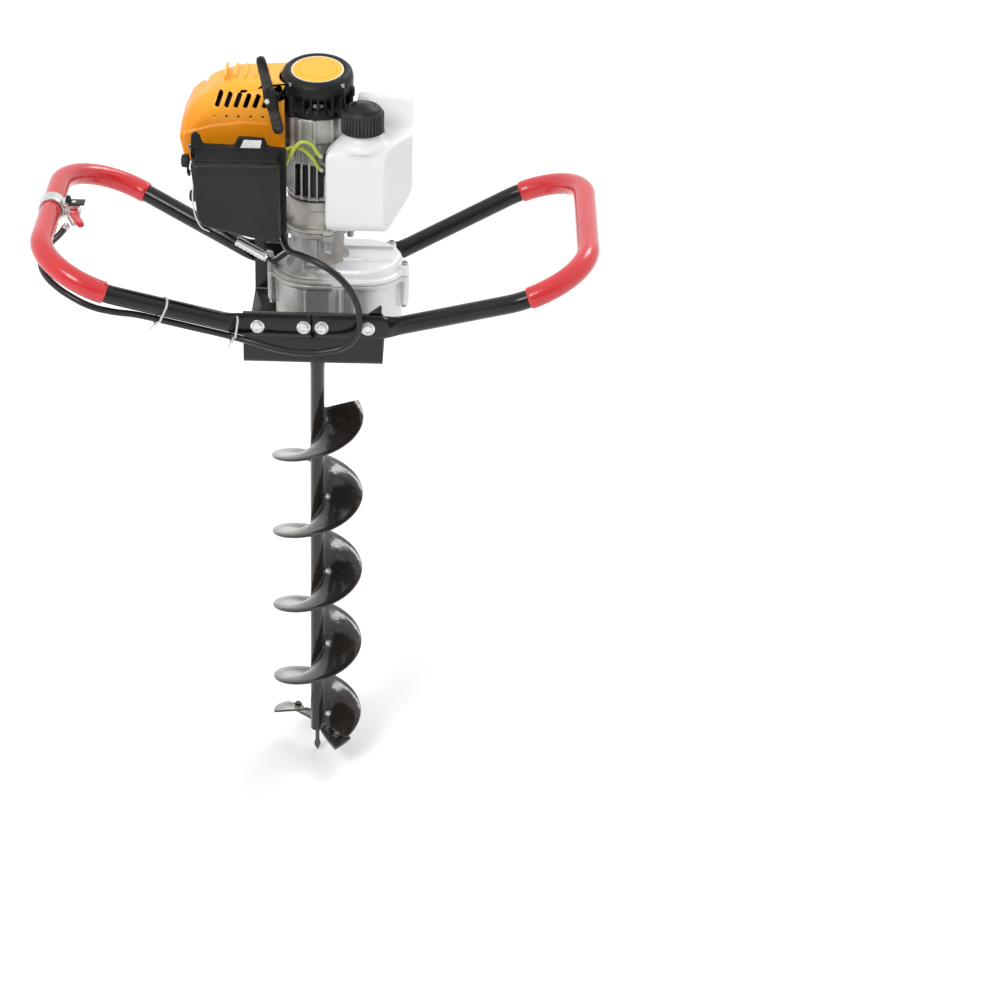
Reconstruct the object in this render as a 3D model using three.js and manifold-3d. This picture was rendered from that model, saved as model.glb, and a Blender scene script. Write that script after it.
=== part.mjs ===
// Petrol ice auger: power head, reduction gearbox, two-handle frame and one auger bit.
// Millimetres, +Z up, +Y away from the front plate. Heights below are measured from the underside of
// the bracket; the finished group is lowered so that its origin lies midway between the two grips.
import * as THREE from 'three';
import { mergeVertices } from 'three/addons/utils/BufferGeometryUtils.js';
import Module from 'manifold-3d';

const wasm = await Module();
wasm.setup();

// ---- driving dimensions ----
const GAP = 0.3; // clearance between pieces that touch
const STEEL = 5; // bracket sheet thickness

const TUBE_RADIUS = 12.5;
const TUBE_BORE = 10.5;
const GRIP_RADIUS = 15;
const GRIP_BORE = 13.6; // wide enough for the corners of the ten-sided tube
const TUBE_Y = 119.5; // tube centre line in front of and behind the axis
const TUBE_Z = 60; // height of the flattened tube ends
const BEND_X = 102; // where a rail leaves the bracket
const LOOP_X = 364; // centre line of the outer bar
const LOOP_RISE = 0.41; // rise of a rail for each millimetre outwards
const LOOP_SPLAY = 0.35; // splay of a rail for each millimetre outwards
const LOOP_RADIUS = 88;
const GRIP_START_X = 288;
const GRIP_LINE = TUBE_Z + LOOP_RISE * (LOOP_X - BEND_X); // height of the outer bars

const BRACKET_X = 94;
const BRACKET_Y = 115;
const BRACKET_TOP = 76;
const BOLT_X = [-74, -12, 12, 74];

const CASE_RADIUS = 59; // gearbox casing round each shaft
const CASE_WALL = 4;
const SHAFT_GAP = 60; // output axis to countershaft axis
const CASE_FLOOR = STEEL + GAP;
const CASE_SPLIT = 92;
const CASE_TOP = 112;
const FLANGE_LOW = 150;
const FLANGE_TOP = 160;

const FIRST_MODULE = 2;
const FIRST_TEETH = [9, 51];
const SECOND_MODULE = 2.5;
const SECOND_TEETH = [8, 40];
const FIRST_GEAR_Z = [82, 94];
const SECOND_GEAR_Z = [32, 50];

const HOUSING_TOP = 204;
const HOUSING_RADIUS = 40;
const CRANK_Z = 250; // height of the cylinder axis
const CRANK_THROW = 15;
const ROD_LENGTH = 55;
const FAN_RADIUS = 44;
const STARTER_LOW = 324;
const STARTER_TOP = 380;
const STARTER_RADIUS = 48;
const REEL_Z = [350, 366];

const PITCH = 124;
const BIT_RADIUS = 65;
const BIT_SHAFT = 10;
const FLIGHT_TOP_ANGLE = 30; // degrees round from +X
const FLIGHT_TOP_Z = -130;
const FLIGHT_TURNS = 4.21;
const FLIGHT_THICKNESS = 3.5;
const BIT_TIP_Z = -706;

const AIR_FRONT = -110;
const AIR_BACK = -73;
const TANK_CAP = { x: 62, y: -47, z: 300 };
const CAP_RADIUS = 28.5;
const CAP_LOW = 313;

// ---- materials ----
function paint(color, roughness, metalness) {
  return new THREE.MeshStandardMaterial({ color, roughness, metalness });
}
const blackPaint = paint(0x141414, 0.35, 0.3);
const redGrip = paint(0xd4262b, 0.35, 0);
const castAluminium = paint(0xb9b6b0, 0.5, 0.7);
const steel = paint(0x8f9296, 0.35, 0.9);
const zinc = paint(0xc9cbcd, 0.3, 0.9);
const orangePlastic = paint(0xf7a21f, 0.4, 0);
const blackPlastic = paint(0x262524, 0.55, 0);
const whiteTank = paint(0xf2f3f4, 0.4, 0);
const hoseYellow = paint(0xc9d23a, 0.35, 0);
const blackRubber = paint(0x1b1b1b, 0.7, 0);
const flightSteel = paint(0x2b2723, 0.25, 0.7);
const filterFoam = paint(0x4a4a4a, 0.95, 0);

// ---- solids ----
const auger = new THREE.Group();
const rad = THREE.MathUtils.degToRad;

function part(name, geometry, material) {
  const mesh = new THREE.Mesh(geometry, material);
  mesh.name = name;
  auger.add(mesh);
}

// A closed mesh as a manifold solid: shared corners merged, slivers dropped, faces turned outwards.
function solid(source) {
  const plain = source.clone();
  plain.deleteAttribute('normal');
  plain.deleteAttribute('uv');
  const merged = mergeVertices(plain, 1e-4);
  const corners = merged.attributes.position.array;
  const kept = [];
  let volume = 0;
  const a = new THREE.Vector3();
  const b = new THREE.Vector3();
  const c = new THREE.Vector3();
  for (let i = 0; i < merged.index.count; i += 3) {
    const [p, q, r] = [0, 1, 2].map((k) => merged.index.getX(i + k));
    if (p === q || q === r || r === p) continue;
    kept.push(p, q, r);
    a.fromArray(corners, 3 * p);
    b.fromArray(corners, 3 * q);
    c.fromArray(corners, 3 * r);
    volume += a.dot(b.cross(c));
  }
  const triVerts = new Uint32Array(volume < 0 ? kept.reverse() : kept);
  const vertProperties = new Float32Array(corners);
  return new wasm.Manifold(new wasm.Mesh({ numProp: 3, vertProperties, triVerts }));
}

function geometryOf(body) {
  const mesh = body.getMesh();
  const geometry = new THREE.BufferGeometry();
  geometry.setAttribute('position', new THREE.BufferAttribute(mesh.vertProperties.slice(), 3));
  geometry.setIndex(new THREE.BufferAttribute(mesh.triVerts.slice(), 1));
  return geometry;
}

const combined = (first, rest, step) => geometryOf(rest.map(solid).reduce(step, solid(first)));
const join = (first, ...rest) => combined(first, rest, (whole, g) => whole.add(g));
const cut = (first, ...rest) => combined(first, rest, (whole, g) => whole.subtract(g));
const common = (first, ...rest) => combined(first, rest, (whole, g) => whole.intersect(g));

function box([x0, x1], [y0, y1], [z0, z1]) {
  const geometry = new THREE.BoxGeometry(x1 - x0, y1 - y0, z1 - z0);
  return geometry.translate((x0 + x1) / 2, (y0 + y1) / 2, (z0 + z1) / 2);
}

// A round bar between two points.
function bar(radius, from, to, sides = 14) {
  const start = new THREE.Vector3(...from);
  const end = new THREE.Vector3(...to);
  const along = end.clone().sub(start);
  const geometry = new THREE.CylinderGeometry(radius, radius, along.length(), sides);
  const turn = new THREE.Quaternion().setFromUnitVectors(new THREE.Vector3(0, 1, 0), along.normalize());
  return geometry.applyQuaternion(turn).translate(...start.add(end).multiplyScalar(0.5).toArray());
}

const post = (radius, [z0, z1], x = 0, y = 0, sides = 16) => bar(radius, [x, y, z0], [x, y, z1], sides);

// A profile of [radius, height] corners turned about the upright axis.
function turned(profile, sides = 20) {
  const points = profile.map(([r, z]) => new THREE.Vector2(r, z));
  return new THREE.LatheGeometry(points, sides).rotateX(Math.PI / 2);
}

// A ring of the given bore and outside radius.
function ring(bore, outside, [z0, z1], sides = 16) {
  return turned([[bore, z0], [outside, z0], [outside, z1], [bore, z1], [bore, z0]], sides);
}

function flat(points) {
  return new THREE.Shape(points.map(([x, y]) => new THREE.Vector2(x, y)));
}

function slab(shape, [z0, z1], curveSegments = 7) {
  const options = { depth: z1 - z0, bevelEnabled: false, curveSegments };
  return new THREE.ExtrudeGeometry(shape, options).translate(0, 0, z0);
}

// A front view outline in X and Z, extruded from y0 to y1.
function frontSlab(points, [y0, y1]) {
  return slab(flat(points), [0, y1 - y0]).rotateX(Math.PI / 2).translate(0, y1, 0);
}

// A side view outline in Y and Z, extruded from x0 to x1.
function sideSlab(points, [x0, x1]) {
  const geometry = slab(flat(points), [0, x1 - x0]);
  return geometry.rotateX(Math.PI / 2).rotateZ(Math.PI / 2).translate(x0, 0, 0);
}

// ---- routes for tubes ----
// A curve that holds the stations it is given, so an extrusion puts one ring at each of them.
class Stations extends THREE.Curve {
  constructor(points) {
    super();
    this.points = points;
  }

  getPoint(t, target = new THREE.Vector3()) {
    return target.copy(this.points[Math.round(t * (this.points.length - 1))]);
  }

  getPointAt(t, target) {
    return this.getPoint(t, target);
  }

  getTangentAt(t, target = new THREE.Vector3()) {
    const last = this.points.length - 1;
    const i = Math.round(t * last);
    const before = this.points[Math.max(i - 1, 0)];
    const after = this.points[Math.min(i + 1, last)];
    const here = this.points[i];
    const forward = after.clone().sub(here).normalize();
    const backward = here.clone().sub(before).normalize();
    return target.copy(forward.add(backward).normalize());
  }

  getTangent(t, target) {
    return this.getTangentAt(t, target);
  }
}

// Straight runs between corners, with a round bend of the given radius and step count at each corner.
function bentRoute(corners, bends) {
  const points = [new THREE.Vector3(...corners[0])];
  bends.forEach(({ radius, steps }, k) => {
    const [before, corner, after] = [0, 1, 2].map((j) => new THREE.Vector3(...corners[k + j]));
    const incoming = corner.clone().sub(before).normalize();
    const outgoing = after.sub(corner).normalize();
    const turn = incoming.angleTo(outgoing);
    const inward = outgoing.clone().sub(incoming).normalize();
    const centre = corner.clone().addScaledVector(inward, radius / Math.cos(turn / 2));
    const side = outgoing.clone().add(incoming).normalize();
    for (let i = 0; i <= steps; i += 1) {
      const angle = turn * (i / steps - 0.5);
      const spoke = inward.clone().multiplyScalar(-Math.cos(angle));
      points.push(centre.clone().addScaledVector(spoke.addScaledVector(side, Math.sin(angle)), radius));
    }
  });
  points.push(new THREE.Vector3(...corners.at(-1)));
  return points;
}

function tube(points, radius, sides, bore = 0, boreSides = sides) {
  const shape = new THREE.Shape();
  shape.absarc(0, 0, radius, 0, 2 * Math.PI);
  const outline = flat(shape.getSpacedPoints(sides).slice(0, sides).map((p) => [p.x, p.y]));
  if (bore > 0) {
    const hole = new THREE.Path().absarc(0, 0, bore, 0, 2 * Math.PI);
    outline.holes.push(new THREE.Path(hole.getSpacedPoints(boreSides).slice(0, boreSides)));
  }
  const extrudePath = new Stations(points);
  return new THREE.ExtrudeGeometry(outline, { steps: points.length - 1, extrudePath });
}

// ---- handles ----
const loopY = TUBE_Y + LOOP_SPLAY * (LOOP_X - BEND_X);
const TUBE_END_X = 3;
const FLAT_UNTIL_X = 90;
const ROUND_FROM_X = 118;
const LOOP_BEND_STEPS = 6;

function loopRoute(side) {
  const corners = [
    [side * TUBE_END_X, -TUBE_Y, TUBE_Z],
    [side * BEND_X, -TUBE_Y, TUBE_Z],
    [side * LOOP_X, -loopY, GRIP_LINE],
    [side * LOOP_X, loopY, GRIP_LINE],
    [side * BEND_X, TUBE_Y, TUBE_Z],
    [side * TUBE_END_X, TUBE_Y, TUBE_Z],
  ];
  const small = { radius: 40, steps: 2 };
  const large = { radius: LOOP_RADIUS, steps: LOOP_BEND_STEPS };
  const points = bentRoute(corners, [small, large, large, small]);
  const front = new THREE.Vector3(side * FLAT_UNTIL_X, -TUBE_Y, TUBE_Z);
  const back = new THREE.Vector3(side * FLAT_UNTIL_X, TUBE_Y, TUBE_Z);
  return [points[0], front, ...points.slice(1, -1), back, points.at(-1)];
}

// The tube is pressed flat where it bolts to the bracket and turns round again outside it.
function flattenEnds(geometry) {
  const position = geometry.attributes.position;
  for (let i = 0; i < position.count; i += 1) {
    const y = position.getY(i);
    const z = position.getZ(i);
    const x = Math.abs(position.getX(i));
    const pressed = 1 - THREE.MathUtils.smoothstep(x, FLAT_UNTIL_X, ROUND_FROM_X);
    if (pressed === 0) continue;
    const axisY = Math.sign(y) * (TUBE_Y + LOOP_SPLAY * Math.max(0, x - BEND_X));
    const axisZ = TUBE_Z + LOOP_RISE * Math.max(0, x - BEND_X);
    const inner = Math.hypot(y - axisY, z - axisZ) < (TUBE_RADIUS + TUBE_BORE) / 2;
    const [thin, tall] = inner ? [0.17, 1.4] : [0.32, 1.38];
    position.setY(i, axisY + (y - axisY) * THREE.MathUtils.lerp(1, thin, pressed));
    position.setZ(i, axisZ + (z - axisZ) * THREE.MathUtils.lerp(1, tall, pressed));
  }
  return geometry;
}

const boltBar = (x, radius, y0, y1) => bar(radius, [x, y0, TUBE_Z], [x, y1, TUBE_Z], 8);

[['left', -1], ['right', 1]].forEach(([name, side]) => {
  const route = loopRoute(side);
  const holes = BOLT_X.filter((x) => x * side > 0).flatMap((x) => [
    boltBar(x, 4 + GAP, -TUBE_Y - 20, -TUBE_Y + 20),
    boltBar(x, 4 + GAP, TUBE_Y - 20, TUBE_Y + 20),
  ]);
  const pipe = flattenEnds(tube(route, TUBE_RADIUS, 10, TUBE_BORE, 6));
  part(`handle_${name}`, cut(pipe, ...holes), blackPaint);
  const gripped = route.filter((p) => Math.abs(p.x) > GRIP_START_X);
  part(`grip_${name}`, tube(gripped, GRIP_RADIUS, 10, GRIP_BORE, 10), redGrip);
});

// ---- bracket ----
function bracket() {
  const outline = [
    [-BRACKET_Y, BRACKET_TOP], [-BRACKET_Y, 0], [BRACKET_Y, 0], [BRACKET_Y, BRACKET_TOP],
    [BRACKET_Y - STEEL, BRACKET_TOP], [BRACKET_Y - STEEL, STEEL],
    [-BRACKET_Y + STEEL, STEEL], [-BRACKET_Y + STEEL, BRACKET_TOP],
  ];
  const channel = sideSlab(outline, [-BRACKET_X, BRACKET_X]);
  const ear = frontSlab([[66, 70], [92, 70], [92, 88]], [-BRACKET_Y, -BRACKET_Y + STEEL]);
  const nutY = BRACKET_Y - STEEL;
  const nuts = BOLT_X.flatMap((x) => [
    bar(8, [x, -nutY - 1, TUBE_Z], [x, -nutY + 7, TUBE_Z], 6),
    bar(8, [x, nutY - 7, TUBE_Z], [x, nutY + 1, TUBE_Z], 6),
  ]);
  const holes = BOLT_X.map((x) => boltBar(x, 4 + GAP, -BRACKET_Y - 5, BRACKET_Y + 5));
  const shaftHole = post(22, [-1, STEEL + 1]);
  return cut(join(channel, ear, ...nuts), ...holes, shaftHole);
}
part('frame_bracket', bracket(), blackPaint);

BOLT_X.forEach((x, i) => {
  [['front', -1], ['back', 1]].forEach(([name, side]) => {
    const face = TUBE_Y + 4.4;
    const shank = boltBar(x, 4, side * (BRACKET_Y - 11), side * (face + 1));
    const washer = boltBar(x, 9, side * face, side * (face + 1.6));
    const head = boltBar(x, 7, side * (face + 1), side * (face + 7));
    part(`handle_bolt_${name}_${i + 1}`, join(shank, washer, head), zinc);
  });
});

// ---- gearbox casing ----
function casingOutline(radius) {
  const shape = new THREE.Shape();
  shape.absarc(SHAFT_GAP, 0, radius, -Math.PI / 2, Math.PI / 2);
  shape.absarc(0, 0, radius, Math.PI / 2, 1.5 * Math.PI);
  return shape;
}

const SCREW_BOSSES = [[-61, -14], [-40, 48], [100, 48], [120, -20], [30, -61], [30, 61]];
const OUTPUT_BORE = 20;
const COUNTER_SEAT = 16;

function lowerCase() {
  const shell = slab(casingOutline(CASE_RADIUS), [CASE_FLOOR, CASE_SPLIT]);
  const bosses = SCREW_BOSSES.map(([x, y]) => post(6, [CASE_SPLIT - 36, CASE_SPLIT], x, y, 8));
  const rim = slab(casingOutline(CASE_RADIUS + 3), [CASE_SPLIT - 5, CASE_SPLIT]);
  const inside = slab(casingOutline(CASE_RADIUS - CASE_WALL), [CASE_FLOOR + 5, CASE_SPLIT + 1]);
  const outputSeat = ring(OUTPUT_BORE, OUTPUT_BORE + 4, [CASE_FLOOR + 4, CASE_FLOOR + 19]);
  const counterSeat = ring(COUNTER_SEAT, COUNTER_SEAT + 3, [CASE_FLOOR + 4, CASE_FLOOR + 15]);
  const walls = cut(join(shell, rim, ...bosses), inside);
  const shaftHole = post(13, [0, CASE_FLOOR + 6]);
  return cut(join(walls, outputSeat, counterSeat.translate(SHAFT_GAP, 0, 0)), shaftHole);
}
part('gearbox_lower_case', lowerCase(), castAluminium);

function upperCase() {
  const low = CASE_SPLIT + GAP;
  const lid = slab(casingOutline(CASE_RADIUS), [low, CASE_TOP]);
  const rim = slab(casingOutline(CASE_RADIUS + 3), [low, low + 5]);
  const bosses = SCREW_BOSSES.map(([x, y]) => post(6, [low, low + 10], x, y, 8));
  const neck = post(36, [CASE_TOP - 1, FLANGE_TOP], 0, 0, 20);
  const flange = post(45, [FLANGE_LOW, FLANGE_TOP], 0, 0, 20);
  const lugs = [0, 90, 180, 270].map((angle) => {
    const [x, y] = [46 * Math.cos(rad(angle + 20)), 46 * Math.sin(rad(angle + 20))];
    return post(7, [FLANGE_LOW, FLANGE_TOP], x, y, 8);
  });
  const ribs = [-20, 20].map((y) => box([36, 100], [y - 2, y + 2], [CASE_TOP - 1, CASE_TOP + 5]));
  const outside = join(lid, rim, neck, flange, ...bosses, ...lugs, ...ribs);
  const inside = slab(casingOutline(CASE_RADIUS - CASE_WALL), [low - 1, CASE_TOP - 4]);
  const seat = ring(COUNTER_SEAT, COUNTER_SEAT + 3, [CASE_TOP - 10, CASE_TOP - 3]);
  seat.translate(SHAFT_GAP, 0, 0);
  const lowerBore = post(26, [CASE_TOP - 5, 128]);
  const upperBore = post(31, [144, FLANGE_TOP + 1]);
  const bearingSeat = post(16, [127, 145]);
  return cut(join(cut(outside, inside), seat), lowerBore, upperBore, bearingSeat);
}
part('gearbox_upper_case', upperCase(), castAluminium);

// ---- gears ----
// Involute teeth, with straight flanks on a large wheel and below a pinion's base circle.
function gearOutline(teeth, module, { addendum, thickness, phase = 0 }) {
  const pitchRadius = (teeth * module) / 2;
  const base = pitchRadius * Math.cos(rad(20));
  const tip = pitchRadius + addendum * module;
  const root = pitchRadius - 1.25 * module;
  const involute = (r) => Math.sqrt(Math.max(0, (r / base) ** 2 - 1)) - Math.acos(Math.min(1, base / r));
  const pitchAngle = (Math.PI * thickness) / teeth + involute(pitchRadius);
  const halfAngle = (r) => pitchAngle - involute(Math.max(r, base));
  const flank = teeth > 20 ? [root, tip] : [root, Math.max(base, root + 0.1), (base + tip) / 2, tip];
  const points = [];
  for (let i = 0; i < teeth; i += 1) {
    const middle = (2 * Math.PI * (i + phase)) / teeth;
    const rising = flank.map((r) => [r, middle - halfAngle(r)]);
    const falling = flank.map((r) => [r, middle + halfAngle(r)]).reverse();
    [...rising, ...falling].forEach(([r, angle]) => {
      points.push([r * Math.cos(angle), r * Math.sin(angle)]);
    });
  }
  return flat(points);
}

function gear(teeth, module, height, bore, form) {
  const outline = gearOutline(teeth, module, form);
  if (bore > 0) outline.holes.push(new THREE.Path().absarc(0, 0, bore, 0, 2 * Math.PI, true));
  return slab(outline, height, 12);
}

const pinionForm = { addendum: 0.9, thickness: 0.46 };
const wheelForm = { addendum: 0.6, thickness: 0.46 };
const [inputTeeth, firstTeeth] = FIRST_TEETH;
const [counterTeeth, outputTeeth] = SECOND_TEETH;
const COUNTER_SHAFT = 8;

const halfTooth = { ...wheelForm, phase: 0.5 };
part('output_gear', gear(outputTeeth, SECOND_MODULE, SECOND_GEAR_Z, 12 + GAP, halfTooth), steel);
const firstWheel = gear(firstTeeth, FIRST_MODULE, FIRST_GEAR_Z, COUNTER_SHAFT + GAP, wheelForm);
part('countershaft_gear', firstWheel.translate(SHAFT_GAP, 0, 0), steel);
part('countershaft', join(
  post(COUNTER_SHAFT, [CASE_FLOOR + 6, CASE_TOP - 5]),
  gear(counterTeeth, SECOND_MODULE, [SECOND_GEAR_Z[0] - 2, SECOND_GEAR_Z[1] + 2], 0, pinionForm),
).translate(SHAFT_GAP, 0, 0), steel);
part('input_pinion', join(
  gear(inputTeeth, FIRST_MODULE, [FIRST_GEAR_Z[0] - 1, FIRST_GEAR_Z[1] + 2], 0, pinionForm),
  post(6, [FIRST_GEAR_Z[0] - 1, FLANGE_TOP + 1]),
), steel);

const STUB_RADIUS = 7;
const STUB_LOW = -48;
const PIN_Z = -26;
const outputShaft = turned([
  [0, STUB_LOW], [STUB_RADIUS, STUB_LOW], [STUB_RADIUS, -3], [BIT_SHAFT, -3], [BIT_SHAFT, 26], [12, 26],
  [12, 74], [0, 74],
], 20);
const pinHole = (radius) => bar(radius, [0, -30, PIN_Z], [0, 30, PIN_Z], 10);
part('output_shaft', cut(outputShaft, pinHole(3 + GAP)), steel);
part('output_bearing', ring(BIT_SHAFT + GAP, OUTPUT_BORE - GAP, [CASE_FLOOR + 6, CASE_FLOOR + 18]), steel);
const counterBearing = ring(COUNTER_SHAFT + GAP, COUNTER_SEAT - GAP, [CASE_FLOOR + 6, CASE_FLOOR + 14]);
part('countershaft_bearing', counterBearing.translate(SHAFT_GAP, 0, 0), steel);
part('input_bearing', ring(6 + GAP, 16 - GAP, [130, 142]), steel);

// ---- centrifugal clutch ----
const DRUM_BORE = 33;
const housingShell = cut(
  join(post(HOUSING_RADIUS, [FLANGE_TOP + GAP, HOUSING_TOP]), post(45, [FLANGE_TOP + GAP, FLANGE_TOP + 5])),
  post(HOUSING_RADIUS - 3, [FLANGE_TOP, HOUSING_TOP - 6]),
  post(9, [HOUSING_TOP - 7, HOUSING_TOP + 1]),
);
part('clutch_housing', housingShell, castAluminium);
part('clutch_drum', turned([
  [0, 162], [DRUM_BORE + 2.5, 162], [DRUM_BORE + 2.5, 188], [DRUM_BORE, 188], [DRUM_BORE, 165], [0, 165],
]), steel);

const SHOE_PIVOT = 26;
function shoePivot(i) {
  const angle = rad(14 + 180 * i);
  return [SHOE_PIVOT * Math.cos(angle), SHOE_PIVOT * Math.sin(angle)];
}
[0, 1].forEach((i) => {
  const start = rad(4 + 180 * i);
  const end = rad(168 + 180 * i);
  const shape = new THREE.Shape();
  shape.absarc(0, 0, 31, start, end);
  shape.absarc(0, 0, 20, end, start, true);
  const [x, y] = shoePivot(i);
  const lining = cut(slab(shape, [170, 184], 8), post(3, [169, 185], x, y, 10));
  part(`clutch_shoe_${i + 1}`, lining, castAluminium);
});
part('clutch_carrier', cut(join(
  ring(8 + GAP, 15, [168, 190]),
  ring(8 + GAP, 31, [186, 189]),
  ...[0, 1].map((i) => post(2.6, [171, 187], ...shoePivot(i), 10)),
), post(8 + GAP, [160, 200])), steel);

// ---- engine ----
const CYLINDER_END = -118;
function crankcase() {
  const outside = turned([
    [0, HOUSING_TOP + GAP], [HOUSING_RADIUS, HOUSING_TOP + GAP], [HOUSING_RADIUS, 284], [FAN_RADIUS, 290],
    [FAN_RADIUS, STARTER_LOW - GAP], [0, STARTER_LOW - GAP],
  ]);
  const cylinderFace = box([-46, -20], [-30, 30], [CRANK_Z - 28, CRANK_Z + 28]);
  const chamber = turned([[0, 224], [33, 224], [33, 276], [0, 276]]);
  const fanSpace = turned([[0, 288], [40, 288], [40.5, 330], [0, 330]]);
  const bore = bar(20 + GAP, [-60, 0, CRANK_Z], [-15, 0, CRANK_Z], 24);
  const slots = [-28, -17, -6, 5, 16].map((x) => box([x - 2.5, x + 2.5], [-60, -34.5], [209, 254]));
  const shaft = post(8 + GAP, [190, 300], 0, 0, 20);
  return cut(join(outside, cylinderFace), chamber, fanSpace, bore, shaft, ...slots);
}
part('crankcase', crankcase(), castAluminium);

const pinX = -CRANK_THROW;
part('crankshaft', join(
  post(8, [167, 234], 0, 0, 20),
  post(28, [232, 241]),
  post(7, [240, 260], pinX, 0, 16),
  post(28, [259, 268]),
  post(8, [267, 326], 0, 0, 20),
), steel);

const wristX = pinX - ROD_LENGTH;
part('connecting_rod', cut(join(
  post(11, [244, 256], pinX, 0, 20),
  box([wristX, pinX], [-4, 4], [246, 254]),
  post(8, [244, 256], wristX, 0, 16),
), post(7 + GAP, [240, 260], pinX, 0, 16), post(5 + GAP, [240, 260], wristX, 0, 12)), steel);

// Turned about the cylinder's own level axis, which runs towards -X.
const acrossCylinder = (geometry) => geometry.rotateY(-Math.PI / 2).translate(0, 0, CRANK_Z);
const PISTON_CROWN = 92;
part('piston', cut(
  acrossCylinder(turned([[0, 60], [19.6, 60], [19.6, PISTON_CROWN], [0, PISTON_CROWN]], 24)),
  acrossCylinder(turned([[0, 59], [16, 59], [16, 86], [0, 86]], 20)),
  bar(5 + GAP, [wristX, -25, CRANK_Z], [wristX, 25, CRANK_Z], 12),
), castAluminium);

const FIN_COUNT = 5;
const finProfile = [];
for (let i = 0; i < FIN_COUNT; i += 1) {
  const x = 58 + 12 * i;
  finProfile.push([25, x], [34, x], [34, x + 3.5], [25, x + 3.5]);
}
part('cylinder', cut(join(
  acrossCylinder(turned([
    [20, 46 + GAP], [27, 46 + GAP], ...finProfile, [27, -CYLINDER_END], [5 + GAP, -CYLINDER_END],
    [5 + GAP, 104], [20, 102], [20, 46 + GAP],
  ], 18)),
  box([-95, -66], [-43.7, -22], [CRANK_Z - 13, CRANK_Z + 11]),
  box([-100, -60], [22, 43], [CRANK_Z - 14, CRANK_Z + 14]),
), bar(20, [-101, 0, CRANK_Z], [-40, 0, CRANK_Z], 24),
bar(7, [-80, -50, CRANK_Z], [-80, 0, CRANK_Z], 14),
bar(9, [-80, 0, CRANK_Z], [-80, 50, CRANK_Z], 14)), castAluminium);

part('spark_plug', acrossCylinder(turned([
  [0, 106], [5, 106], [5, 118.3], [9, 118.3], [9, 126], [5, 127], [5, 138], [3, 139], [3, 146], [0, 146],
], 14)), steel);

const coverOutline = [
  [-58, 262], [-174, 262], [-183, 305], [-167, 335], [-138, 357], [-105, 367], [-58, 369],
];
const coverInside = [
  [-40, 255], [-170.5, 255], [-179.5, 304], [-165, 332.5], [-136.5, 354], [-104.5, 363.5], [-40, 365.5],
];
const VENT = { firstX: -133, pitch: 14.5, z: 341, lean: 16 };
const vents = [0, 1, 2, 3, 4].map((i) => {
  const slot = box([-3.5, 3.5], [-8, 8], [-13, 13]).rotateY(rad(VENT.lean));
  return slot.translate(VENT.firstX + VENT.pitch * i, -43, VENT.z);
});
const coverShell = frontSlab(coverOutline, [-43.5, 48]);
part('cylinder_cover', cut(coverShell, frontSlab(coverInside, [-40.5, 45]), ...vents), orangePlastic);

const mufflerCan = box([-118, -52], [46, 84], [216, 258]);
const mufflerFlange = box([-98, -62], [43 + GAP, 47], [CRANK_Z - 12, CRANK_Z + 8]);
part('muffler', cut(
  join(mufflerCan, mufflerFlange),
  bar(8, [-80, 40, CRANK_Z - 2], [-80, 60, CRANK_Z - 2], 12),
), steel);

// ---- flywheel, reel and recoil starter ----
const blades = [];
for (let i = 0; i < 10; i += 1) {
  blades.push(box([20, 38], [-1.2, 1.2], [297, 316]).rotateZ((2 * Math.PI * i) / 10));
}
const flywheelDisc = ring(8 + GAP, 38.5, [292, 299]);
const flywheelHub = ring(8 + GAP, 15, [290, 320], 20);
part('flywheel', join(flywheelDisc, flywheelHub, ...blades), castAluminium);

const PULL = new THREE.Vector3(-0.45, -0.893, 0).normalize();
const ROPE_RADIUS = 2;
const REEL_GROOVE = 26;
const ropeZ = (REEL_Z[0] + REEL_Z[1]) / 2;
const ropeSide = new THREE.Vector3(PULL.y, -PULL.x, 0).multiplyScalar(REEL_GROOVE);
const ropePoint = (distance) => [
  ropeSide.x + PULL.x * distance, ropeSide.y + PULL.y * distance, ropeZ,
];

const POST_RADIUS = 6;
function starterCase() {
  const outside = turned([
    [0, STARTER_LOW], [STARTER_RADIUS, STARTER_LOW], [STARTER_RADIUS, 366], [STARTER_RADIUS - 5, 377],
    [STARTER_RADIUS - 9, STARTER_TOP], [0, STARTER_TOP],
  ], 24);
  const inside = turned([[0, STARTER_LOW - 1], [44, STARTER_LOW - 1], [44, 366], [40, 372], [0, 372]], 24);
  const badgeSeat = post(35.5, [STARTER_TOP - 2.5, STARTER_TOP + 1], 0, 0, 24);
  const snout = bar(7, ropePoint(34), ropePoint(46), 12);
  const shell = cut(join(outside, snout), inside, badgeSeat, bar(3.2, ropePoint(20), ropePoint(60), 10));
  return join(shell, post(POST_RADIUS, [342, 373], 0, 0, 16));
}
part('starter_case', starterCase(), blackPlastic);
part('starter_reel', turned([
  [POST_RADIUS + GAP, REEL_Z[0]], [34, REEL_Z[0]], [34, REEL_Z[0] + 4], [REEL_GROOVE - 3, REEL_Z[0] + 4],
  [REEL_GROOVE - 3, REEL_Z[1] - 4], [34, REEL_Z[1] - 4], [34, REEL_Z[1]], [POST_RADIUS + GAP, REEL_Z[1]],
  [POST_RADIUS + GAP, REEL_Z[0]],
]), blackPlastic);

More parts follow.
